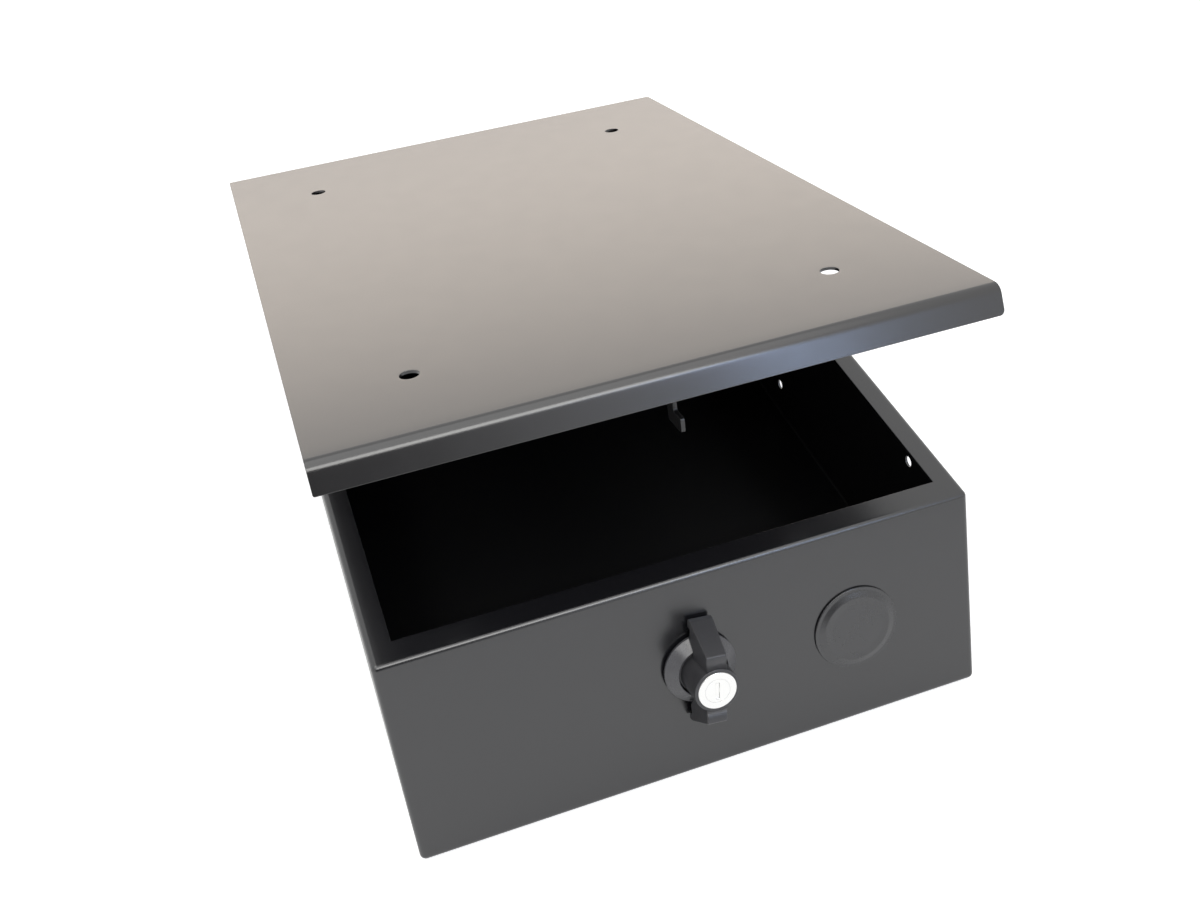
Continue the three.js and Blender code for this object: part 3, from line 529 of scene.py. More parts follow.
class Wire:
    """A shader value that Python's operators extend with Math nodes."""

    def __init__(self, bench: "Bench", socket: bpy.types.NodeSocket) -> None:
        """Wraps an output socket of a node on a bench."""
        self.bench = bench
        self.socket = socket

    def _math(self, operation: str, first: "Wire | float", second: "Wire | float") -> "Wire":
        """Adds one Math node."""
        return self.bench.node("ShaderNodeMath", {"operation": operation}, {0: first, 1: second})

    def __add__(self, other: "Wire | float") -> "Wire":
        """Sum."""
        return self._math("ADD", self, other)

    __radd__ = __add__

    def __sub__(self, other: "Wire | float") -> "Wire":
        """Difference."""
        return self._math("SUBTRACT", self, other)

    def __rsub__(self, other: "Wire | float") -> "Wire":
        """Difference from a number."""
        return self._math("SUBTRACT", other, self)

    def __mul__(self, other: "Wire | float") -> "Wire":
        """Product."""
        return self._math("MULTIPLY", self, other)

    __rmul__ = __mul__

    def ramp(self, low: float, high: float) -> "Wire":
        """Runs smoothly from 0 at low to 1 at high."""
        sockets = {"Value": self, "From Min": low, "From Max": high}
        return self.bench.node("ShaderNodeMapRange", {"interpolation_type": "SMOOTHSTEP"}, sockets)


class Bench:
    """The node tree of one material or of the world."""

    def __init__(self, owner: bpy.types.Material | bpy.types.World) -> None:
        """Empties the owner's node tree.

        Args:
            owner: The material or the world.
        """
        owner.use_nodes = True
        self.tree = owner.node_tree
        self.tree.nodes.clear()

    def node(
        self,
        kind: str,
        settings: dict | None = None,
        sockets: dict | None = None,
        output: int | str = 0,
    ) -> Wire:
        """Adds a node.

        Args:
            kind: The node's type.
            settings: Its properties, set first.
            sockets: Values or wires of its inputs, by name or number.
            output: The output that is returned.

        Returns:
            That output as a wire.
        """
        made = self.tree.nodes.new(kind)
        for key, value in (settings or {}).items():
            setattr(made, key, value)
        for key, value in (sockets or {}).items():
            if isinstance(value, Wire):
                self.tree.links.new(value.socket, made.inputs[key])
            else:
                made.inputs[key].default_value = value
        return Wire(self, made.outputs[output])

    def place(self, stretch: tuple[float, float, float] = (1, 1, 1)) -> Wire:
        """Object coordinates, in metres, stretched along the axes."""
        here = self.node("ShaderNodeTexCoord", output="Object")
        return self.node("ShaderNodeMapping", None, {"Vector": here, "Scale": stretch})

    def noise(
        self, size: float, detail: float, stretch: tuple[float, float, float] = (1, 1, 1),
    ) -> Wire:
        """Noise between 0 and 1 whose blotches are about size millimetres."""
        sockets = {"Vector": self.place(stretch), "Scale": 1 / (size * MM), "Detail": detail}
        return self.node("ShaderNodeTexNoise", None, sockets)

    def blend(
        self, share: Wire, first: Sequence[float] | Wire, second: Sequence[float] | Wire,
    ) -> Wire:
        """Mixes two colours."""
        sockets = {0: share, 6: first, 7: second}
        return self.node("ShaderNodeMix", {"data_type": "RGBA"}, sockets, output=2)

    def bump(self, height: Wire, depth: float) -> Wire:
        """Surface normal of a height field whose full range is depth millimetres."""
        sockets = {"Height": height, "Strength": 1.0, "Distance": depth * MM}
        return self.node("ShaderNodeBump", None, sockets)

    def seen(self, *kinds: str) -> Wire:
        """Tells rays apart by Light Path.

        Args:
            kinds: Names of its outputs, such as Is Camera Ray.

        Returns:
            1 for rays of any of these kinds and 0 for others.
        """
        first, *others = [self.node("ShaderNodeLightPath", output=kind) for kind in kinds]
        for other in others:
            first = self.node("ShaderNodeMath", {"operation": "MAXIMUM"}, {0: first, 1: other})
        return first

    def close(self, surface: Wire, ending: str = "ShaderNodeOutputMaterial") -> None:
        """Joins a shader to the tree's output."""
        self.tree.links.new(surface.socket, self.tree.nodes.new(ending).inputs["Surface"])


def shade(colour: Sequence[float], factor: float) -> tuple[float, float, float, float]:
    """A linear colour from written 0 to 255 values, made lighter or darker.

    Args:
        colour: Red, green and blue as they look on screen.
        factor: Factor on the light it returns.

    Returns:
        Linear red, green, blue and 1.
    """
    screen = np.array(colour, float) / 255
    linear = np.where(screen <= 0.04045, screen / 12.92, ((screen + 0.055) / 1.055) ** 2.4)
    return (*np.clip(linear * factor, 0, 1).tolist(), 1.0)


@dataclass(frozen=True)
class Coat:
    """What every finish has: a name, a colour from 0 to 255, and its roughness."""

    name: str
    colour: tuple[int, int, int]
    roughness: float = 0.4

    def inputs(self, bench: Bench) -> dict:
        """Works out the Principled shader's inputs, by name, on the material's bench."""
        raise NotImplementedError

    def tones(self, bench: Bench, share: Wire, dark: float, pale: float) -> Wire:
        """Runs the colour from a darker to a paler tone of itself."""
        return bench.blend(share, shade(self.colour, dark), shade(self.colour, pale))

    def make(self) -> bpy.types.Material:
        """Builds the material.

        Returns:
            The material, named as its finish.
        """
        material = bpy.data.materials.new(self.name)
        bench = Bench(material)
        bench.close(bench.node("ShaderNodeBsdfPrincipled", None, self.inputs(bench)))
        return material


@dataclass(frozen=True)
class PowderCoat(Coat):
    """Baked powder paint: an orange-peel skin, faint clouds and a few pale dust specks."""

    gloss: float = 1.0
    cloud_size: float = 70.0
    clouds: float = 0.04
    film_size: float = 14.0
    film_swing: float = 0.04
    peel_size: float = 0.9
    peel_depth: float = 0.006
    speck_size: float = 1.6
    speck_range: tuple[float, float] = (0.78, 0.84)
    speck_share: float = 0.15
    speck_tone: float = 1.5

    def inputs(self, bench: Bench) -> dict:
        """Lays specks over a cloudy colour, and a film's blotches over the roughness.

        Args:
            bench: The material's bench.

        Returns:
            The shader's inputs.
        """
        film = bench.noise(self.film_size, detail=2)
        peel = bench.noise(self.peel_size, detail=1.5)
        speck = bench.noise(self.speck_size, detail=0).ramp(*self.speck_range)
        cloud = bench.noise(self.cloud_size, detail=3)
        paint = self.tones(bench, cloud, 1 - self.clouds, 1 + self.clouds)
        dust = shade(self.colour, self.speck_tone)
        return {
            "Base Color": bench.blend(speck * self.speck_share, paint, dust),
            "Roughness": self.roughness + (film - 0.5) * self.film_swing,
            "Specular IOR Level": self.gloss,
            "Normal": bench.bump(peel, self.peel_depth),
        }


@dataclass(frozen=True)
class Moulding(Coat):
    """Moulded plastic or painted casting with a fine grain and rubbed patches."""

    roughness: float = 0.38
    gloss: float = 0.6
    grain_size: float = 0.35
    grain_depth: float = 0.006
    grain_swing: float = 0.1
    patch_size: float = 9.0
    patch_range: tuple[float, float] = (0.3, 0.8)
    patch_tones: tuple[float, float] = (0.95, 1.08)
    patch_polish: float = 0.04

    def inputs(self, bench: Bench) -> dict:
        """Makes the rubbed patches paler and smoother, and the grain rougher and raised.

        Args:
            bench: The material's bench.

        Returns:
            The shader's inputs.
        """
        grain = bench.noise(self.grain_size, detail=2)
        rubbed = bench.noise(self.patch_size, detail=2).ramp(*self.patch_range)
        smoothed = self.roughness - rubbed * self.patch_polish
        return {
            "Base Color": self.tones(bench, rubbed, *self.patch_tones),
            "Roughness": smoothed + (grain - 0.5) * self.grain_swing,
            "Specular IOR Level": self.gloss,
            "Normal": bench.bump(grain, self.grain_depth),
        }


@dataclass(frozen=True)
class Plating(Coat):
    """Bare or plated metal with fine drawn lines and a cloudy film."""

    roughness: float = 0.3
    line_size: float = 0.25
    line_depth: float = 0.002
    line_swing: float = 0.1
    stretch: tuple[float, float, float] = (0.05, 1, 1)
    film: float = 0.15
    film_size: float = 5.0
    film_swing: float = 0.2

    def inputs(self, bench: Bench) -> dict:
        """Draws lines along one axis, under a film that clouds the colour and the roughness.

        Args:
            bench: The material's bench.

        Returns:
            The shader's inputs.
        """
        lines = bench.noise(self.line_size, detail=2, stretch=self.stretch)
        cloud = bench.noise(self.film_size, detail=3)
        clouded = self.roughness + (cloud - 0.5) * self.film_swing
        return {
            "Base Color": self.tones(bench, cloud, 1 - self.film, 1 + self.film),
            "Metallic": 1.0,
            "Roughness": clouded + (lines - 0.5) * self.line_swing,
            "Normal": bench.bump(lines, self.line_depth),
        }


class Finish(Enum):
    """Every finish on the box."""

    BOX_PAINT = PowderCoat("box_powder_coat", (23, 23, 26), 0.24)
    LID_PAINT = PowderCoat("lid_powder_coat", (31, 30, 31), 0.22)
    # Painted shade: the tray's inner faces get a near-black, duller coat that stands in for the
    # shade inside the box under the lid.
    INSIDE_PAINT = PowderCoat("inside_painted_shade_coat", (9, 9, 11), 0.5, gloss=0.3)
    HINGE_PAINT = PowderCoat("hinge_powder_coat", (34, 34, 37), 0.34)
    KEEPER_PAINT = PowderCoat("keeper_powder_coat", (18, 18, 20), 0.36, gloss=0.8)
    CAP_PLASTIC = Moulding(
        "cap_plastic", (33, 33, 36), 0.27, gloss=1.0, grain_size=1.1, grain_depth=0.0022,
    )
    KNOB_PLASTIC = Moulding("knob_plastic", (62, 62, 65))
    BEZEL_CASTING = Moulding("bezel_casting", (66, 66, 70), 0.3, gloss=0.9)
    RUBBER = Moulding("gasket_rubber", (16, 16, 16), 0.8, grain_size=0.5)
    CHROME = Plating("cylinder_chrome", (238, 238, 236), 0.16, film=0.02, line_depth=0.0005)
    ZINC = Plating("zinc_plate", (176, 178, 180), 0.34)
    BRASS = Plating("wafer_brass", (196, 166, 104))

    def material(self) -> bpy.types.Material:
        """The finish's material, made once."""
        return bpy.data.materials.get(self.value.name) or self.value.make()


def settle(
    piece: bpy.types.Object,
    body: Body,
    nodes: Sequence[str],
    finishes: Sequence[Finish],
) -> None:
    """Dresses a new piece, puts it on its body and hides the CAD nodes it stands for.

    Args:
        piece: The piece.
        body: The body it rides on.
        nodes: The CAD nodes that it replaces.
        finishes: Its finishes, in the order of its material slots.
    """
    for finish in finishes:
        piece.data.materials.append(finish.material())
    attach(piece, body.value)
    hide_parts(*nodes)
    log.info("%s rides on %s: %d points", piece.name, body.value, len(piece.data.vertices))


def add_solid(skin: Skin, name: str, body: Body, node: str, finish: Finish) -> None:
    """Makes a closed piece of one finish that stands for one CAD node.

    Args:
        skin: Its faces.
        name: Its name.
        body: The body it rides on.
        node: The CAD node.
        finish: Its finish.
    """
    piece = skin.build(name)
    settle(piece, body, [node], [finish])
    even_shading(piece)


@dataclass(frozen=True)
class Fitting:
    """A small part that keeps its CAD shape and gets rolled edges."""

    name: str
    node: str
    slot: str
    finish: Finish
    edge: float = 0.25
    sharp: float = 35.0

    def build(self) -> None:
        """Copies the node's triangles, welds them, joins the flat ones and rolls the edges."""
        node = frame["nodes"][self.node]
        mesh = bpy.data.meshes.new(self.name)
        shell = bmesh.new()
        shell.from_mesh(node.data)
        bmesh.ops.remove_doubles(shell, verts=shell.verts, dist=WELD_DISTANCE)
        flat = {"angle_limit": FLAT_ANGLE, "verts": shell.verts, "edges": shell.edges}
        bmesh.ops.dissolve_limit(shell, **flat)
        shell.to_mesh(mesh)
        shell.free()
        for attribute in [a for a in mesh.attributes if a.name == "custom_normal"]:
            mesh.attributes.remove(attribute)
        piece = add_smooth(self.name, mesh)
        settle(piece, Body(node["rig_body"]), [self.node], [self.finish])
        roll_edges(piece, self.edge, self.sharp)


@dataclass(frozen=True)
class BoxPlan:
    """The box's own sizes and the frames that its sub-assemblies are built in."""

    width: float
    height: float
    base_depth: float
    slant: float = math.radians(19.35)
    sheet: float = 1.5
    bend: float = 3.0
    side_flange: float = 12.0
    front_flange: float = 13.0
    lock_drop: float = 49.5
    cap_drop: float = 55.8
    cap_edge: float = 66.0
    knob_turn: float = math.radians(6)
    lid_open: float = math.radians(14.6)
    seat_gap: float = 0.3
    lid_sheet: float = 1.5
    knuckle_radius: float = 2.38

    @classmethod
    def from_frame(cls) -> "BoxPlan":
        """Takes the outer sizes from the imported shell, whose base is centred on the origin."""
        low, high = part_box("box_shell")
        return cls((high.x - low.x) / MM, (high.z - low.z) / MM, 2 * high.y / MM)

    @property
    def back(self) -> float:
        """Place of the back wall's outer face."""
        return self.base_depth / 2

    @property
    def rim_front(self) -> float:
        """Place of the rim's front corner, before it is rolled."""
        return self.height * math.tan(self.slant) - self.base_depth / 2

    @property
    def mouth_half(self) -> float:
        """Half the mouth's width."""
        return self.width / 2 - self.side_flange

    @property
    def mouth_front(self) -> float:
        """Front edge of the mouth."""
        return self.rim_front + self.front_flange

    @property
    def cap_x(self) -> float:
        """Place of the hole plug across the box."""
        return self.width / 2 - self.cap_edge

    @property
    def pivot(self) -> np.ndarray:
        """Hinge axis."""
        radius = self.knuckle_radius
        return np.array([0, self.back + self.seat_gap + radius, self.height - radius])

    def front(self) -> Place:
        """Frame on the front face.

        Returns:
            X right, Y up the face and Z outwards, from the rim's corner.
        """
        sin, cos = math.sin(self.slant), math.cos(self.slant)
        axes = np.array([[1, 0, 0], [0, sin, cos], [0, -cos, sin]])
        return Place(np.array([0, self.rim_front, self.height]), axes)

    def lock(self) -> Place:
        """Frame of the lock."""
        return self.front().shifted(0, -self.lock_drop)

    def knob(self) -> Place:
        """Frame of the knob at rest."""
        return self.lock().turned(-self.knob_turn)

    def cap(self) -> Place:
        """Frame of the hole plug."""
        return self.front().shifted(self.cap_x, -self.cap_drop)

    def hinge(self) -> Place:
        """Frame on the hinge axis, square to the box."""
        return Place(self.pivot, np.eye(3))

    def lid(self) -> Place:
        """Frame on the hinge axis, tilted with the lid."""
        sin, cos = math.sin(self.lid_open), math.cos(self.lid_open)
        return Place(self.pivot, np.array([[1, 0, 0], [0, cos, -sin], [0, sin, cos]]))


@dataclass(frozen=True)
class SideHole:
    """A bolt hole in both side walls: back from the rim's front corner, and down from the rim.

    Its levels bound the block of grid cells that it takes the place of.
    """

    setback: float
    drop: float
    levels: tuple[float, float]


@dataclass
class Tray:
    """The folded tray: five walls, rolled edges, turned-in rim and holes in three walls.

    A block is half the width of the grid cells that a hole takes the place of. In the side
    walls it is a share of the depth.
    """

    plan: BoxPlan
    fold_steps: int = 6
    lock_hole_radius: float = 11.3
    lock_hole_half_flats: float = 9.8
    lock_block: float = 17.0
    cable_hole_radius: float = 20.5
    cable_block: float = 24.0
    front_levels: tuple[float, float] = (31.0, 78.0)
    side_hole_radius: float = 3.0
    side_block: float = 0.012
    front_hole: SideHole = SideHole(50.5, 22.4, (78.0, 88.0))
    rear_hole: SideHole = SideHole(200.0, 83.4, (17.0, 27.0))
    cut_edge: float = 0.3

    def _front_line(self, z: float) -> float:
        """Place of the front fold's centre line at a level: it leans by the slant."""
        plan, lean = self.plan, (self.plan.height - z) * math.tan(self.plan.slant)
        return plan.rim_front - lean + plan.bend / math.cos(plan.slant)

    def _share(self, y: float, z: float) -> float:
        """Share of the depth between the fold centres at which a place lies."""
        front = self._front_line(z)
        return (y - front) / (self.plan.back - self.plan.bend - front)

    def _centres(self, x: np.ndarray, share: np.ndarray, z: float) -> np.ndarray:
        """Fold centres at a level, from their place across and their share of the depth."""
        front, back = self._front_line(z), self.plan.back - self.plan.bend
        return np.stack([x, front + share * (back - front), 0 * x + z], -1)

    def _centre(self, hole: SideHole) -> tuple[float, float]:
        """Place and level of a side hole's centre."""
        return self.plan.rim_front + hole.setback, self.plan.height - hole.drop

    def _lines(self) -> tuple[np.ndarray, np.ndarray, np.ndarray]:
        """Spaces the grid lines, with some at the edges of every hole's block.

        Returns:
            Places across the box, shares of its depth, and levels of its walls.
        """
        plan, block = self.plan, self.side_block
        low, high = plan.bend, plan.height - plan.bend
        half, mouth = plan.width / 2 - plan.bend, plan.mouth_half
        cable = (plan.cap_x - self.cable_block, plan.cap_x + self.cable_block)
        across = [-half, -mouth, -self.lock_block, self.lock_block, *cable, mouth, half]
        mouth_share = self._share(plan.mouth_front, high)
        near, far = (self._share(*self._centre(hole)) for hole in (self.front_hole, self.rear_hole))
        along = [0, mouth_share, near - block, near + block, far - block, far + block, 1]
        levels = [low, *self.rear_hole.levels, *self.front_levels, self.front_hole.levels[1], high]
        return (
            runs(across, [3, 8, 12, 3, 12, 3, 3]),
            runs(along, [3, 4, 6, 10, 6, 14]),
            runs(levels, [3, 6, 1, 14, 6, 4]),
        )

    def _walk(self, across: np.ndarray, along: np.ndarray) -> tuple[np.ndarray, ...]:
        """Walks around the tray: front, right, back and left wall, each with its fold after it.

        A fold turns evenly from its wall's direction to the next one's.

        Args:
            across: Places of the grid lines across the box.
            along: Shares of the depth of those along it.

        Returns:
            Each station's place across, its share of the depth and its direction, and the
            number of the first station of each wall and fold.
        """
        slant = self.plan.slant
        front_way = np.array([0, -math.cos(slant), math.sin(slant)])
        half = across[-1]
        walls = [
            (across, 0 * across, front_way),
            (half + 0 * along, along, RIGHT),
            (across[::-1], 1 + 0 * across, BACK),
            (-half + 0 * along, along[::-1], -RIGHT),
        ]
        turn = np.linspace(0, 1, self.fold_steps + 1)[1:-1]
        parts = []
        for (x, share, way), (_, _, next_way) in zip(walls, walls[1:] + walls[:1]):
            parts.append((x, share, np.tile(way, (len(x), 1))))
            fold = turn_between(way, next_way, turn)
            parts.append((x[-1] + 0 * turn, share[-1] + 0 * turn, fold))
        starts = np.cumsum([0] + [len(x) for x, _, _ in parts])
        return (*(np.concatenate(column) for column in zip(*parts)), starts)

    def _holes(
        self, across: np.ndarray, along: np.ndarray, levels: np.ndarray, starts: np.ndarray,
    ) -> list[Hole]:
        """Sets the lock's and the cable's hole in the front, and two bolt holes in each side.

        Args:
            across: Places of the grid lines across the box.
            along: Shares of the depth of those along it.
            levels: Levels of the walls' rows.
            starts: Number of the first station of each wall and fold.

        Returns:
            The holes.
        """
        plan = self.plan
        lock, cap, block = plan.lock(), plan.cap(), self.side_block
        rows = nearest(levels, *self.front_levels)
        at_lock = nearest(across, -self.lock_block, self.lock_block)
        at_cable = nearest(across, plan.cap_x - self.cable_block, plan.cap_x + self.cable_block)
        holes = [
            Hole(rows, at_lock, lock.origin, RIGHT, lock.axes[1],
                 self.lock_hole_radius, self.lock_hole_half_flats),
            Hole(rows, at_cable, cap.origin, RIGHT, cap.axes[1], self.cable_hole_radius),
        ]
        right_start, left_end = int(starts[2]), int(starts[7]) - 1
        for hole in (self.front_hole, self.rear_hole):
            y, z = self._centre(hole)
            share = self._share(y, z)
            first, last = nearest(along, share - block, share + block)
            rows = nearest(levels, *hole.levels)
            right = (right_start + first, right_start + last)
            left = (left_end - last, left_end - first)
            for side, columns in ((1, right), (-1, left)):
                centre = np.array([side * plan.width / 2, y, z])
                holes.append(Hole(rows, columns, centre, BACK, UP, self.side_hole_radius))
        return holes

    def build(self) -> None:
        """Builds the sheet as a ball rolled around the tray's fold centres.

        A point is its fold centre plus the bend radius times its direction. Walls keep their own
        direction, a fold turns evenly from one wall's direction to the next, and the bottom and
        top folds turn it on to straight down and straight up. The top fold is left out behind
        the mouth, where the hinge lies.
        """
        plan = self.plan
        low, high = plan.bend, plan.height - plan.bend
        across, along, levels = self._lines()
        x, share, way, starts = self._walk(across, along)
        turn = np.linspace(0, 1, self.fold_steps + 1)
        walls = np.stack([self._centres(x, share, z) for z in levels]) + plan.bend * way
        bottom_fold = self._centres(x, share, low) + plan.bend * turn_between(DOWN, way, turn)
        top_fold = self._centres(x, share, high) + plan.bend * turn_between(way, UP, turn)
        flat_x, flat_share = np.meshgrid(across, along)
        base = self._centres(flat_x, flat_share, low) + plan.bend * DOWN
        rim = self._centres(flat_x, flat_share, high) + plan.bend * UP

        station = np.arange(len(x))
        behind = (station >= starts[4]) & (station < starts[5] - 1)
        behind &= np.abs(x + np.roll(x, -1)) / 2 < plan.mouth_half
        keep_top = np.broadcast_to(~behind, (self.fold_steps, len(x)))
        beside = np.abs(across[1:] + across[:-1]) / 2 > plan.mouth_half
        before = (along[1:] + along[:-1]) / 2 < self._share(plan.mouth_front, high)

        skin = Skin()
        skin.grid(walls, wrap_columns=True, holes=self._holes(across, along, levels, starts))
        skin.grid(bottom_fold, wrap_columns=True)
        skin.grid(top_fold, wrap_columns=True, keep=keep_top)
        skin.grid(base)
        skin.grid(rim, keep=beside[None] | before[:, None])
        piece = skin.build("folded_tray", inside=np.array([0, 0, plan.height / 2]))
        # The second slot, on the inner face, is the darker coat of painted shade for the box's
        # interior.
        settle(piece, Body.BOX, ["box_shell"], [Finish.BOX_PAINT, Finish.INSIDE_PAINT])
        thicken(piece, plan.sheet, inner_slot=1)
        roll_edges(piece, self.cut_edge)


@dataclass
class Lid:
    """The flat lid with its folded front flange and four holes for a pad."""

    plan: BoxPlan
    side_overhang: float = 4.5
    back_overhang: float = 0.5
    flange: float = 13.8
    flange_clearance: float = 0.8
    bend: float = 5.8
    bend_steps: int = 8
    corner: float = 2.5
    corner_steps: int = 4
    left_corner: float = 0.9
    hole_radius: float = 4.5
    hole_spacing: tuple[float, float] = (203.0, 320.0)
    hole_setback: float = 71.6
    block: float = 11.0
    cut_edge: float = 0.3
    inner_point: tuple[float, float, float] = (0.0, -200.0, -60.0)

    def _flange_face(self, z: float, offset: float) -> float:
        """Follows the slant of the box's front at a distance from it.

        Args:
            z: A level in the hinge frame.
            offset: Distance out from the front face.

        Returns:
            The place at that level in the hinge frame.
        """
        plan = self.plan
        lean = (z + plan.pivot[2] - plan.height) * math.sin(plan.slant)
        return plan.rim_front - plan.pivot[1] + (lean - offset) / math.cos(plan.slant)

    def _section(self) -> tuple[np.ndarray, np.ndarray]:
        """Lid's upper face in side view, from the back edge over the fold to the flange's end.

        Returns:
            Points (y, z) in the hinge frame, and each one's distance from the nearer free edge.
        """
        plan = self.plan
        sin, cos = math.sin(plan.slant), math.cos(plan.slant)
        top = plan.height + plan.seat_gap + plan.lid_sheet - plan.pivot[2]
        back = plan.knuckle_radius + self.back_overhang
        offset = self.flange_clearance + plan.lid_sheet
        low = top - self.bend
        centre = np.array([self._flange_face(low, offset - self.bend), low])
        end = np.array([self._flange_face(top, offset), top]) - self.flange * np.array([sin, cos])

        flat = back - centre[0]
        rounded = np.cos(np.linspace(0, np.pi / 2, self.corner_steps + 1)[:-1])
        corner_rows = self.corner * (1 - rounded)
        near, far, block = self.hole_setback, self.hole_setback + self.hole_spacing[1], self.block
        stops = [self.corner, near - block, near + block, far - block, far + block, flat]
        rows = np.concatenate([corner_rows, runs(stops, [5, 10, 26, 10, 6])])
        angle = np.linspace(np.pi / 2, np.pi - plan.slant, self.bend_steps + 1)[1:]
        arc = centre + self.bend * np.stack([np.cos(angle), np.sin(angle)], 1)
        length = np.linalg.norm(end - arc[-1])
        down = np.linspace(0, length - self.corner, 4)[1:]
        down = np.concatenate([down, length - corner_rows[::-1]])
        flange = arc[-1] + down[:, None] / length * (end - arc[-1])
        section = np.concatenate([np.stack([back - rows, top + 0 * rows], 1), arc, flange])
        return section, np.concatenate([rows, np.full(len(arc), flat), length - down])

    def build(self) -> None:
        """Builds the sheet: the side view carried across, its four corners rounded.

        Within the corner radius of a free edge the half width loses r - sqrt(r^2 - (r - d)^2).
        """
        plan, block = self.plan, self.block
        section, edge = self._section()
        half = plan.width / 2 + self.side_overhang
        hole_x = self.hole_spacing[0] / 2
        across = runs(
            [-half, -hole_x - block, -hole_x + block, hole_x - block, hole_x + block, half],
            [4, 10, 18, 10, 4],
        )
        corner = np.where(across < 0, self.left_corner, self.corner)
        depth = np.clip(corner - edge[:, None], 0, corner)
        narrowed = half - (corner - np.sqrt(corner ** 2 - depth ** 2))
        x = across * narrowed / half
        local = np.stack([x, section[:, :1] + 0 * x, section[:, 1:] + 0 * x], -1)
        lid = plan.lid()
        holes = []
        for row in (0, 1):
            y = section[0, 0] - self.hole_setback - row * self.hole_spacing[1]
            rows = nearest(section[:, 0], y + block, y - block)
            for side in (-1, 1):
                columns = nearest(across, side * hole_x - block, side * hole_x + block)
                centre = lid.put(np.array([side * hole_x, y, section[0, 1]]))
                holes.append(Hole(rows, columns, centre, *lid.axes[:2], self.hole_radius))
        skin = Skin()
        skin.grid(lid.put(local), holes=holes)
        piece = skin.build("lid_sheet", inside=lid.put(np.array(self.inner_point)))
        settle(piece, Body.LID, ["lid_panel"], [Finish.LID_PAINT])
        thicken(piece, plan.lid_sheet)
        roll_edges(piece, self.cut_edge)


@dataclass
class Hinge:
    """The piano hinge behind the box: two leaves with interleaved knuckles on one pin."""

    plan: BoxPlan
    end_gap: float = 4.0
    leaf: float = 18.0
    leaf_gap: float = 0.3
    leaf_points: tuple[int, int] = (361, 25)
    thickness: float = 1.0
    bore: float = 1.38
    bore_edge: float = 0.1
    knuckles: int = 11
    knuckle_gap: float = 0.4
    knuckle_edge: float = 0.25
    tongue_inset: float = 0.1
    tongue_start: float = 0.2
    tongue_lap: float = 0.4
    tongue_edge: float = 0.08
    pin_radius: float = 1.3
    pin_edges: tuple[float, float] = (0.4, 0.4)
    weld_pitch: float = 36.0
    weld_radius: float = 2.2
    weld_depth: float = 0.3

    @property
    def length(self) -> float:
        """Length of the leaves."""
        return 2 * (self.plan.mouth_half - self.end_gap)

    def _plate(self, skin: Skin, place: Place) -> None:
        """Adds a leaf's plate, with a row of spot-weld dimples.

        A dimple lowers the face by depth times exp(-(distance / radius)^2).

        Args:
            skin: The leaf's faces.
            place: Frame on the axis: X along it, Y away from it along the leaf, Z out of the face.
        """
        radius, half = self.plan.knuckle_radius, self.length / 2
        start, end = radius + self.leaf_gap, radius + self.leaf
        along, away = self.leaf_points
        x, y = np.meshgrid(np.linspace(-half, half, along), np.linspace(start, end, away))
        weld = (np.mod(x + self.weld_pitch / 2, self.weld_pitch) - self.weld_pitch / 2) ** 2
        weld = weld + (y - (start + end) / 2) ** 2
        top = self.thickness - radius - self.weld_depth * np.exp(-weld / self.weld_radius ** 2)
        rows = np.stack([x, y, top], -1)
        rim = np.concatenate([rows[0], rows[1:, -1], rows[-1, -2::-1], rows[-2:0:-1, 0]])
        below = np.array([[1, 1, 0]]) * rim + np.array([0, 0, -radius])
        skin.grid(place.put(rows))
        skin.grid(place.put(np.stack([rim, below])), wrap_columns=True)
        skin.add(place.put(below), np.arange(len(below))[None])

    def _leaf(self, name: str, place: Place, first: int, body: Body, node: str) -> None:
        """Builds one leaf: a plate and every second knuckle, each joined to it by a tongue.

        Args:
            name: The piece's name.
            place: Frame on the axis, as for the plate.
            first: Number of its first knuckle.
            body: The body it rides on.
            node: The CAD node it replaces.
        """
        radius, bore, inset_x = self.plan.knuckle_radius, self.bore, self.tongue_inset
        skin = Skin()
        self._plate(skin, place)
        half, pitch = self.length / 2, self.length / self.knuckles
        for i in range(first, self.knuckles, 2):
            low = -half + i * pitch + (self.knuckle_gap / 2 if i else 0)
            high = -half + (i + 1) * pitch - (self.knuckle_gap / 2 if i < self.knuckles - 1 else 0)
            ring = filleted([
                (bore, low, self.bore_edge), (radius, low, self.knuckle_edge),
                (radius, high, self.knuckle_edge), (bore, high, self.bore_edge),
            ], steps=3)
            skin.grid(place.put(along_x(lathe(ring, 40))), wrap_rows=True, wrap_columns=True)
            outline = rectangle(
                low + inset_x, high - inset_x,
                self.tongue_start, radius + self.leaf_gap + self.tongue_lap, inset_x,
            )
            tongue = slab(outline, -radius, self.thickness - radius, self.tongue_edge)
            skin.solid_rows(place.put(tongue))
        add_solid(skin, name, body, node, Finish.HINGE_PAINT)

    def build(self) -> None:
        """Builds both leaves and the pin."""
        hinge, lid = self.plan.hinge(), self.plan.lid()
        on_box = Place(hinge.origin, np.array([[1, 0, 0], [0, 0, -1], [0, 1, 0]]))
        on_lid = Place(lid.origin, np.array([[1, 0, 0], [0, -1, 0], [0, 0, -1]]) @ lid.axes)
        self._leaf("hinge_leaf_on_box", on_box, 0, Body.BOX, "hinge_leaf_box")
        self._leaf("hinge_leaf_on_lid", on_lid, 1, Body.LID, "hinge_leaf_lid")
        profile = rod(self.pin_radius, -self.length / 2, self.length / 2, *self.pin_edges)
        skin = Skin()
        skin.grid(hinge.put(along_x(lathe(profile, 32))), wrap_columns=True)
        pin = skin.build("hinge_rod")
        settle(pin, Body.BOX, ["hinge_pin"], [Finish.ZINC])


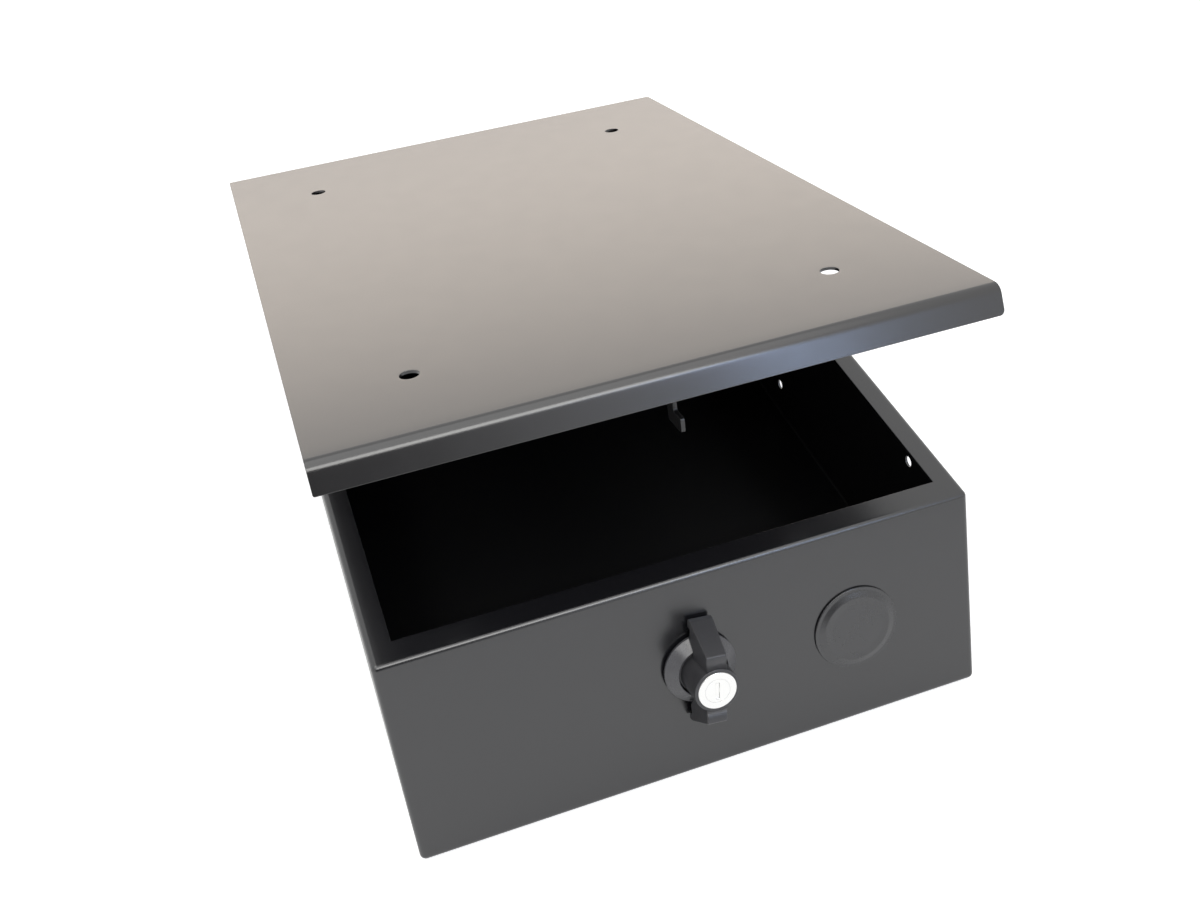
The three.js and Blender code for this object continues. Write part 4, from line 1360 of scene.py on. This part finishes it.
@dataclass
class HolePlug:
    """The push-in cap right of the lock: a dished face and a slotted skirt with a bead."""

    plan: BoxPlan
    rim: float = 22.45
    face: float = 2.25
    seat: float = 0.3
    dish: float = 14.0
    dish_depth: float = 0.3
    crest: float = 17.4
    ledge: float = 20.7
    shoulder: float = 1.2
    skirt: float = 20.2
    skirt_wall: float = 1.6
    skirt_lap: float = 0.2
    skirt_end: float = -8.0
    bead: float = 0.8
    tabs: int = 6
    slot: float = 2.0

    def build(self) -> None:
        """Builds the cap as one turned profile and the skirt as six turned tabs."""
        inner, tip = self.skirt - self.skirt_wall, self.skirt_end
        top = self.face - self.dish_depth
        root = -self.plan.sheet
        cap = filleted([
            (0, top, 0), (self.dish, top, 9.0), (self.crest, self.face, 3.0),
            (self.ledge, self.shoulder, 3.0), (self.rim, self.shoulder, 0.45),
            (self.rim, self.seat, 0.15), (self.skirt, self.seat, 0.2), (self.skirt, root, 0.1),
            (inner, root, 0.1), (inner, self.seat, 0.3), (0, self.seat, 0),
        ], closed=False)
        bead = self.skirt + self.bead
        catch = root - self.seat
        lap = root + self.skirt_lap
        tab = filleted([
            (inner, lap, 0), (inner, tip, 0.3), (self.skirt - self.bead, tip, 0.3),
            (bead, catch - self.bead, 0.3), (bead, catch, 0.2), (self.skirt, catch, 0.1),
            (self.skirt, lap, 0),
        ], steps=3)
        place = self.plan.cap()
        skin = Skin()
        skin.turn(place, cap)
        gap = self.slot / 2 / self.skirt
        for i in range(self.tabs):
            start = 2 * math.pi * i / self.tabs + gap
            stop = 2 * math.pi * (i + 1) / self.tabs - gap
            skin.solid_rows(place.put(lathe(tab, 14, start, stop).transpose(1, 0, 2)))
        add_solid(skin, "cable_hole_cap", Body.BOX, "hole_plug", Finish.CAP_PLASTIC)


@dataclass
class WingLock:
    """The key lock: clamped housing, wing knob and turning key cylinder.

    Levels are heights above the front wall, the lower one first. A band is how near to a radius
    a point counts as lying on it, and the slider's stops are the angles it can point at.
    """

    plan: BoxPlan
    bezel_bottom: float = 1.6
    bezel_radius: float = 18.5
    bezel_edge: float = 2.8
    bezel_top: float = 7.2
    recess_radius: float = 12.5
    recess_floor: float = 2.8
    recess_band: float = 0.35
    land: float = 0.6
    barrel_radius: float = 11.0
    barrel_half_flats: float = 9.5
    barrel_band: float = 0.6
    barrel_end: float = -30.4
    barrel_chamfer: tuple[float, float] = (0.5, 0.4)
    thread_rows: int = 170
    thread_gap: float = 0.3
    thread_pitch: float = 1.5
    thread_depth: float = 0.45
    thread_start: float = -1.5
    thread_fade: float = 2.0
    thread_runout: float = 1.2
    stem_bore: float = 6.1
    nut_half_flats: float = 13.5
    nut_levels: tuple[float, float] = (-8.1, -3.1)
    nut_clearance: float = 0.3
    hub_radius: float = 12.2
    hub_levels: tuple[float, float] = (3.1, 5.7)
    plate_points: int = 80
    plate_lap: float = 0.1
    plate_edge: float = 0.05
    boss_radius: float = 11.2
    knob_height: float = 24.0
    pocket_radius: float = 9.66
    pocket_floor: float = 6.7
    stem_radius: float = 5.8
    stem_lap: float = 0.15
    stem_end: float = -30.7
    stem_square: float = 7.5
    square_levels: tuple[float, float] = (-33.2, -30.0)
    wing_half_width: float = 6.0
    wing_draft: float = 0.048
    wing_height: float = 23.7
    wing_crease: float = 18.0
    wing_tip: float = 27.5
    wing_tip_height: float = 3.0
    wing_foot: float = 22.9
    wing_foot_rise: float = 1.4
    wing_clearance: float = 0.6
    wing_edge: float = 0.8
    sleeve_radius: float = 9.6
    sleeve_levels: tuple[float, float] = (8.4, 24.3)
    sleeve_clearance: float = 0.05
    plug_radius: float = 6.2
    plug_bottom: float = 7.0
    face_band: float = 1.0
    clip_groove: tuple[float, float] = (7.2, 8.2)
    clip_groove_depth: float = 1.2
    keyway: tuple[float, float] = (1.9, 8.0)
    keyway_depth: float = 2.5
    keyway_lip: float = 0.12
    keyway_flare: float = 1.06
    shutter_gap: float = 0.08
    shutter_depths: tuple[float, float] = (1.2, 0.35)
    pin_radius: float = 1.0
    pin_offset: float = -2.4
    pin_levels: tuple[float, float] = (3.4, 8.0)
    pin_room: float = 3.7
    slider_half: float = 3.8
    slider_tail: float = 6.3
    slider_reach: float = 14.5
    slider_ceiling: float = 5.1
    slider_stops: tuple[float, float, float] = (6.0, 0.0, -84.0)
    notch_spare: float = 1.0
    notch_edge: float = 0.05

    def _housing(self) -> None:
        """Builds the bezel cone and threaded barrel as one turned profile, cut to its flats."""
        recess, ceiling, barrel = self.recess_radius, self.slider_ceiling, self.barrel_radius
        chamfer, chamfer_rise = self.barrel_chamfer
        barrel_foot = self.barrel_end + chamfer_rise
        profile = filleted([
            (self.stem_bore, self.recess_floor, 0.3), (recess, self.recess_floor, 0.3),
            (recess, ceiling - self.notch_edge, 0), (recess, ceiling, 0),
            (recess, self.bezel_top, 0.25), (recess + self.land, self.bezel_top, 0.5),
            (self.bezel_radius, self.bezel_edge, 0.6), (self.bezel_radius, self.bezel_bottom, 0.15),
            (barrel, self.bezel_bottom, 0.2),
        ], closed=False)
        levels = np.linspace(self.bezel_bottom - self.thread_gap, barrel_foot, self.thread_rows)
        end = filleted([
            (barrel, barrel_foot, 0), (barrel - chamfer, self.barrel_end, 0),
            (self.stem_bore, self.barrel_end, 0.3), (self.stem_bore, self.recess_floor, 0),
        ], closed=False)
        thread = np.stack([np.full_like(levels, barrel), levels], 1)
        surface = lathe(np.concatenate([profile, thread, end]))
        self._cut_notches(surface)
        self._cut_thread(surface)
        skin = Skin()
        skin.grid(self.plan.lock().put(surface), wrap_columns=True)
        name, finish = "lock_bezel_and_barrel", Finish.BEZEL_CASTING
        add_solid(skin, name, Body.BOX, "lock_housing", finish)

    def _cut_thread(self, surface: np.ndarray) -> None:
        """Cuts the thread and the two flats into the housing's barrel.

        The thread lowers the barrel by its depth times a triangle wave of level / pitch plus the
        share of a turn, and fades out at both ends.

        Args:
            surface: The housing's turned surface in the lock's frame, shaped (n, around, 3).
        """
        radius, angle, level = polar(surface)
        turns = level / self.thread_pitch + angle / (2 * np.pi)
        wave = np.abs(2 * (turns - np.floor(turns)) - 1)
        fade = np.clip((self.thread_start - level) / self.thread_fade, 0, 1)
        fade *= np.clip((level - self.barrel_end) / self.thread_runout, 0, 1)
        near = np.abs(radius - self.barrel_radius) < self.barrel_band
        on_barrel = near & (level < self.bezel_bottom)
        cut = np.where(on_barrel, self.thread_depth * wave * fade, 0)
        surface[..., :2] *= ((radius - cut) / np.maximum(radius, TINY))[..., None]
        below = level < self.bezel_bottom + PICK
        inner = radius < self.barrel_radius + self.barrel_band
        flats = np.where(below & inner, self.barrel_half_flats, math.inf)
        surface[..., 0] = np.clip(surface[..., 0], -flats, flats)

    def _cut_notches(self, surface: np.ndarray) -> None:
        """Cuts the slider's notches into the recess's wall.

        Below the slider's ceiling the wall moves out to the slider's reach, wherever its angle is
        within asin(half width / radius) of a place where the slider can point.

        Args:
            surface: The housing's turned surface in the lock's frame, shaped (n, around, 3).
        """
        radius, angle, level = polar(surface)
        half = math.degrees(math.asin(self.slider_half / self.recess_radius)) + self.notch_spare
        offsets = [np.abs(np.degrees(angle) - stop) for stop in self.slider_stops]
        pointed = np.min(offsets, axis=0) < half
        wall = np.abs(radius - self.recess_radius) < self.recess_band
        wall &= (level < self.slider_ceiling - PICK) & (level > self.recess_floor - PICK)
        out = np.where(pointed & wall, self.slider_reach - self.recess_radius, 0)
        surface[..., :2] *= ((radius + out) / np.maximum(radius, TINY))[..., None]

    def _nut(self) -> None:
        """Builds the nut: its radius is the smaller of a hexagon's and a chamfered profile's.

        The profile is the same seen from above and below, with each point's radius and its
        distance from the nearer face.
        """
        low, high = self.nut_levels
        flats, sixth = self.nut_half_flats, math.pi / 6
        corner = flats / math.cos(sixth)
        bore = self.barrel_radius + self.nut_clearance
        chamfer = np.array([
            (bore, 0.5), (bore + 0.5, 0), (flats - 0.4, 0), (flats + 0.3, 0.15),
            (corner - 0.3, 0.9), (corner, 1.1),
        ])
        lower = chamfer * [1, 1] + [0, low]
        upper = chamfer[::-1] * [1, -1] + [0, high]
        surface = lathe(np.concatenate([lower, upper]), 144)
        radius, angle, _ = polar(surface)
        hexagon = flats / np.cos(np.mod(angle + sixth, 2 * sixth) - sixth)
        surface[..., :2] *= (np.minimum(radius, hexagon) / radius)[..., None]
        skin = Skin()
        place = self.plan.lock().turned(sixth)
        skin.grid(place.put(surface), wrap_rows=True, wrap_columns=True)
        add_solid(skin, "clamping_nut", Body.BOX, "lock_nut", Finish.ZINC)

    def _wing_rows(self, side: int) -> np.ndarray:
        """One half of the wing, from inside the boss's wall to the tip.

        Its side view is carried across the wing with rolled long edges, and drawn in by the draft
        for each millimetre above the tip. The inner end follows the boss: at x it lies at
        sqrt(r^2 - x^2).

        Args:
            side: 1 for the half that points up, -1 for the other.

        Returns:
            Rows for Skin.solid_rows in the knob's frame.
        """
        root = (self.boss_radius + self.pocket_radius) / 2
        bottom, foot, tip = self.bezel_bottom, self.wing_foot, self.wing_tip
        shoulder = bottom + self.wing_tip_height
        run = self.bezel_radius - self.recess_radius - self.land
        lift = self.wing_clearance * math.hypot(run, self.bezel_top - self.bezel_edge) / run
        view = filleted([
            (root, self.bezel_top + lift, 0),
            (self.recess_radius + self.land, self.bezel_top + lift, 0.3),
            (self.bezel_radius, self.bezel_edge + lift, 0.3),
            (foot, self.bezel_edge + self.wing_foot_rise, 0.3), (foot, bottom, 1.2),
            (tip, bottom, 0.6), (tip, shoulder, 0.8),
            (self.wing_crease, self.wing_height, 1.2), (root, self.wing_height, 0),
        ])
        half = self.wing_half_width
        x, drawn = slab_levels(-half, half, self.wing_edge, 6)
        flat = inset(view, drawn)
        inner = np.isclose(view[:, 0], root)
        edge = np.sqrt(root ** 2 - x ** 2)[:, None]
        y = np.where(inner, edge, np.maximum(flat[..., 0], edge))
        above = np.clip(flat[..., 1] - bottom - self.wing_tip_height, 0, None)
        drawn_in = 1 - self.wing_draft / half * above
        return np.stack([x[:, None] * drawn_in, side * y, flat[..., 1]], -1)

    def _hub_plate(self) -> np.ndarray:
        """A disc whose slot for the slider runs from the slider's tail to the disc's edge.

        Returns:
            Rows for Skin.solid_rows in the slider's frame.
        """
        side = math.asin(self.slider_half / self.hub_radius)
        angle = np.linspace(side, 2 * math.pi - side, self.plate_points)
        rim = self.hub_radius * np.stack([np.cos(angle), np.sin(angle)], 1)
        slot_end = [(-self.slider_tail, -self.slider_half), (-self.slider_tail, self.slider_half)]
        outline = np.concatenate([rim, slot_end])
        top = self.slider_ceiling + self.plate_lap
        return slab(outline, self.hub_levels[0], top, self.plate_edge)

    def _knob(self) -> None:
        """Builds the knob: turned boss, slotted hub plate, two wing halves, stem and square end."""
        hub, hub_high, ceiling = self.hub_radius, self.hub_levels[1], self.slider_ceiling
        pocket, floor, top = self.pocket_radius, self.pocket_floor, self.knob_height
        boss = filleted([
            (self.pin_room, ceiling, 0.1), (self.pin_room, floor, 0.1), (pocket, floor, 0.2),
            (pocket, top, 0.2), (self.boss_radius, top, 0.6), (self.boss_radius, hub_high, 0.4),
            (hub, hub_high, 0.4), (hub, ceiling, 0),
        ])
        stem = rod(self.stem_radius, self.hub_levels[0] + self.stem_lap, self.stem_end, 0, 0.4)
        place = self.plan.knob()
        half = self.stem_square / 2
        skin = Skin()
        skin.turn(place, boss, ring=True)
        skin.turn(place, stem, 48)
        skin.solid_rows(place.turned(self.plan.knob_turn).put(self._hub_plate()))
        for side in (-1, 1):
            skin.solid_rows(place.put(self._wing_rows(side)))
        square = rectangle(-half, half, -half, half, 0.5)
        skin.solid_rows(place.put(slab(square, *self.square_levels, 0.3)))
        add_solid(skin, "wing_knob_body", Body.KNOB, "wing_knob", Finish.KNOB_PLASTIC)

    def _sleeve(self) -> None:
        """Builds the plated sleeve around the plug."""
        low, high = self.sleeve_levels
        inner, outer = self.plug_radius + self.sleeve_clearance, self.sleeve_radius
        ring = [(inner, low, 0.1), (outer, low, 0.2), (outer, high, 0.3), (inner, high, 0.03)]
        skin = Skin()
        skin.turn(self.plan.knob(), filleted(ring, steps=5), ring=True)
        node, finish = "cylinder_sleeve", Finish.CHROME
        add_solid(skin, "cylinder_ring", Body.KNOB, node, finish)

    def _key_plug(self) -> None:
        """Builds the plug, whose face runs from its round edge to the keyway, and its shutter.

        Around the keyway a point lies at the smaller of half width / |cos a| and half height /
        |sin a|. A dust shutter closes the keyway, and a pin below drives the slider.
        """
        top, radius = self.sleeve_levels[1], self.plug_radius
        half_x, half_y = self.keyway[0] / 2, self.keyway[1] / 2
        lean = math.atan2(half_y, half_x)
        corners = [-lean, lean, math.pi - lean, math.pi + lean, 2 * math.pi - lean]
        angle = runs(corners, [28, 6, 28, 6])[:-1]
        cos, sin = np.cos(angle), np.sin(angle)
        wide, tall = np.maximum(np.abs(cos), TINY), np.maximum(np.abs(sin), TINY)
        slot = np.minimum(half_x / wide, half_y / tall)
        (groove_low, groove_high), groove = self.clip_groove, radius - self.clip_groove_depth
        outer = filleted([
            (0, self.plug_bottom, 0), (radius, self.plug_bottom, 0.15), (radius, groove_low, 0),
            (groove, groove_low, 0), (groove, groove_high, 0), (radius, groove_high, 0),
            (radius, top, 0.03), (radius - self.face_band, top, 0),
        ], closed=False)
        rows = np.stack([outer[:, :1] * cos, outer[:, :1] * sin, outer[:, 1:] + 0 * cos], -1)
        depths = np.array([[top], [top - self.keyway_lip], [top - self.keyway_depth]])
        flare = np.array([[self.keyway_flare], [1.0], [1.0]])
        walls = np.stack([flare * slot * cos, flare * slot * sin, depths + 0 * cos], -1)
        place = self.plan.knob()
        skin = Skin()
        skin.solid_rows(place.put(np.concatenate([rows, walls])))
        wide, tall = half_x - self.shutter_gap, half_y - self.shutter_gap
        deep, shallow = self.shutter_depths
        outline = rectangle(-wide, wide, -tall, tall, 0.3)
        skin.solid_rows(place.put(slab(outline, top - deep, top - shallow, 0.12)))
        pin_place = place.turned(self.plan.knob_turn - math.pi / 2).shifted(self.pin_offset, 0)
        skin.turn(pin_place, rod(self.pin_radius, *self.pin_levels, 0.2, 0), 24)
        add_solid(skin, "key_plug_face", Body.KEY, "key_plug", Finish.CHROME)

    def build(self) -> None:
        """Builds the lock's new pieces and dresses the ones that keep their CAD shape."""
        self._housing()
        self._nut()
        self._knob()
        self._sleeve()
        self._key_plug()
        fittings = [
            Fitting("wall_gasket", "lock_gasket", "gasket", Finish.RUBBER),
            Fitting("backing_washer", "lock_washer", "lock_steel", Finish.ZINC),
            Fitting("retaining_ring", "plug_clip", "lock_steel", Finish.ZINC, edge=0.1),
            Fitting("locking_slider", "lock_bolt", "lock_steel", Finish.ZINC),
            Fitting("hook_cam", "lock_cam", "lock_steel", Finish.ZINC, edge=0.4),
            Fitting("cam_spring_washer", "cam_washer", "lock_steel", Finish.ZINC),
            Fitting("cam_fixing_screw", "cam_screw", "lock_steel", Finish.ZINC, edge=0.15),
        ]
        fittings += [
            Fitting(f"tumbler_{number}", f"wafer_{number}", "wafers", Finish.BRASS, edge=0.08)
            for number in range(1, 6)
        ]
        for fitting in fittings:
            fitting.build()


def heading(azimuth: float, elevation: float) -> np.ndarray:
    """Unit direction at an azimuth from +Y towards +X and an elevation, both in radians."""
    flat = math.cos(elevation)
    return np.array([math.sin(azimuth) * flat, math.cos(azimuth) * flat, math.sin(elevation)])


def stand(
    name: str, data: bpy.types.ID, axes: Sequence[np.ndarray], place: np.ndarray,
) -> bpy.types.Object:
    """Stands a lamp or a camera in the scene.

    Args:
        name: Its name.
        data: Its lamp or camera data.
        axes: Its right, its up and its backward direction.
        place: Where it is, in metres.

    Returns:
        The object.
    """
    added = add_object(name, data)
    matrix = np.eye(4)
    matrix[:3, :3] = np.transpose(axes)
    matrix[:3, 3] = place
    added.matrix_world = Matrix(matrix.tolist())
    return added


@dataclass(frozen=True)
class Softbox:
    """An area lamp in a direction from the point that it lights.

    The azimuth runs in degrees from +Y towards +X and the elevation from the floor up. Lengths
    are in metres and the colour is linear. The power is radiance times pi times the area, so
    that a radiance of 1 is the backdrop's white.
    """

    name: str
    aim: tuple[float, float, float]
    azimuth: float
    elevation: float
    distance: float
    size: tuple[float, float]
    radiance: float
    colour: tuple[float, float, float]

    def build(self) -> None:
        """Makes the lamp and turns its face to the point."""
        data = bpy.data.lights.new(self.name, "AREA")
        data.shape = "RECTANGLE"
        data.size, data.size_y = self.size
        data.energy = self.radiance * math.pi * self.size[0] * self.size[1]
        data.color = self.colour
        away = heading(math.radians(self.azimuth), math.radians(self.elevation))
        side = np.cross(UP, away)
        side /= np.linalg.norm(side)
        place = np.array(self.aim) + away * self.distance
        stand(self.name, data, [side, np.cross(away, side), away], place)


@dataclass
class Studio:
    """Floor, lamps, world and camera."""

    lens: float = 38.046
    sensor: float = 36.0
    camera_place: tuple[float, float, float] = (-153.26, -569.71, 549.97)
    yaw: float = 17.3713
    pitch: float = 42.4603
    roll: float = 3.1884
    ambient: float = 0.5
    floor_half: float = 6000.0
    floor_level: float = -0.2
    floor_tone: float = 0.8
    floor_glow: float = 0.68
    floor_gloss: float = 0.38
    dark_side: tuple[float, float, float] = (-0.256, -0.849, 0.462)
    gloss_dark: tuple[float, float] = (0.88, 0.945)
    light_dark: tuple[float, float] = (0.3, 0.95)
    gloss_loss: float = 0.92
    light_loss: float = 0.8
    softboxes: tuple[Softbox, ...] = (
        Softbox("top_softbox", (0, 0, 0.1), 0, 88, 1.6, (1.6, 1.6), 0.8, (1.0, 1.0, 0.98)),
        Softbox("side_softbox", (0, 0, 0.1), -82, 62, 1.7, (1.4, 1.0), 1.2, (1.0, 0.98, 0.95)),
        Softbox("back_softbox", (0.05, 0.1, 0.15), 16, 4, 2.8, (3.4, 0.92), 1.38, (1, 0.84, 0.69)),
        Softbox("window", (0.05, -0.2, 0.15), 155, 38, 1.8, (0.12, 1.05), 8.5, (0.5, 0.66, 1.0)),
        Softbox("front_softbox", (0, -0.2, 0.12), 173, 57, 1.6, (0.8, 0.62), 4.6, (1, 0.99, 0.96)),
        Softbox("left_softbox", (0, -0.22, 0.06), -143, 50, 1.5, (0.4, 0.4), 4.0, (1.0, 1.0, 1.0)),
    )

    def _camera(self) -> None:
        """Sets the camera at the photograph's angle.

        Its right and down axes are turned about its line of sight by the roll.
        """
        yaw, pitch, roll = (math.radians(angle) for angle in (self.yaw, self.pitch, self.roll))
        ahead = heading(yaw, -pitch)
        level = np.array([math.cos(yaw), -math.sin(yaw), 0])
        below = np.cross(ahead, level)
        right = math.cos(roll) * level + math.sin(roll) * below
        down = math.cos(roll) * below - math.sin(roll) * level
        data = bpy.data.cameras.new("photo_camera")
        data.lens = self.lens
        data.sensor_width = self.sensor
        place = np.array(self.camera_place) * MM
        bpy.context.scene.camera = stand("photo_camera", data, [right, -down, -ahead], place)

    def _world(self) -> None:
        """Makes the world white to the camera, and dimmer in gloss on the photographer's side.

        Dimness runs smoothly from 0 to 1 with the cosine between a direction and the dark side's
        middle. Gloss loses one share of it and plain light another.
        """
        world = bpy.data.worlds.new("white_studio")
        bpy.context.scene.world = world
        bench = Bench(world)
        way = bench.node("ShaderNodeTexCoord", output="Generated")
        product = {0: way, 1: self.dark_side}
        cosine = bench.node(
            "ShaderNodeVectorMath", {"operation": "DOT_PRODUCT"}, product, output="Value",
        )
        clear = bench.seen("Is Camera Ray", "Is Transmission Ray")
        glossy = bench.seen("Is Glossy Ray")
        in_gloss = 1 - cosine.ramp(*self.gloss_dark) * self.gloss_loss
        in_light = (1 - cosine.ramp(*self.light_dark) * self.light_loss) * self.ambient
        unseen = glossy * in_gloss + (1 - glossy) * in_light
        strength = clear + (1 - clear) * unseen
        sockets = {"Color": (1, 1, 1, 1), "Strength": strength}
        bench.close(bench.node("ShaderNodeBackground", None, sockets), "ShaderNodeOutputWorld")

    def _floor(self) -> None:
        """Lays a wide matte floor, white to the camera and greyer in gloss, with a soft shadow."""
        material = bpy.data.materials.new("studio_floor")
        bench = Bench(material)
        seen = bench.seen("Is Camera Ray", "Is Transmission Ray") * self.floor_glow
        seen = seen + bench.seen("Is Glossy Ray") * self.floor_gloss
        tone = (self.floor_tone, self.floor_tone, self.floor_tone, 1)
        matte = bench.node("ShaderNodeBsdfDiffuse", None, {"Color": tone})
        glow = bench.node("ShaderNodeEmission", None, {"Color": (1, 1, 1, 1), "Strength": seen})
        bench.close(bench.node("ShaderNodeAddShader", None, {0: matte, 1: glow}))
        skin = Skin()
        side = np.linspace(-self.floor_half, self.floor_half, 3)
        x, y = np.meshgrid(side, side)
        skin.grid(np.stack([x, y, 0 * x + self.floor_level], -1))
        floor = skin.build("studio_floor", inside=self.floor_half * DOWN)
        floor.data.materials.append(material)

    def build(self) -> None:
        """Sets up everything around the box."""
        bpy.context.scene.view_settings.view_transform = "Standard"
        self._camera()
        self._world()
        self._floor()
        for softbox in self.softboxes:
            softbox.build()


def main() -> None:
    """Builds the box piece by piece, then the studio around it."""
    logging.basicConfig(level=logging.INFO, format="%(name)s: %(message)s")
    plan = BoxPlan.from_frame()
    Tray(plan).build()
    Lid(plan).build()
    Fitting("lid_hook_bracket", "lid_keeper", "hinge_steel", Finish.KEEPER_PAINT, edge=0.3).build()
    Hinge(plan).build()
    HolePlug(plan).build()
    WingLock(plan).build()
    Studio().build()


if __name__ == "__main__":
    main()
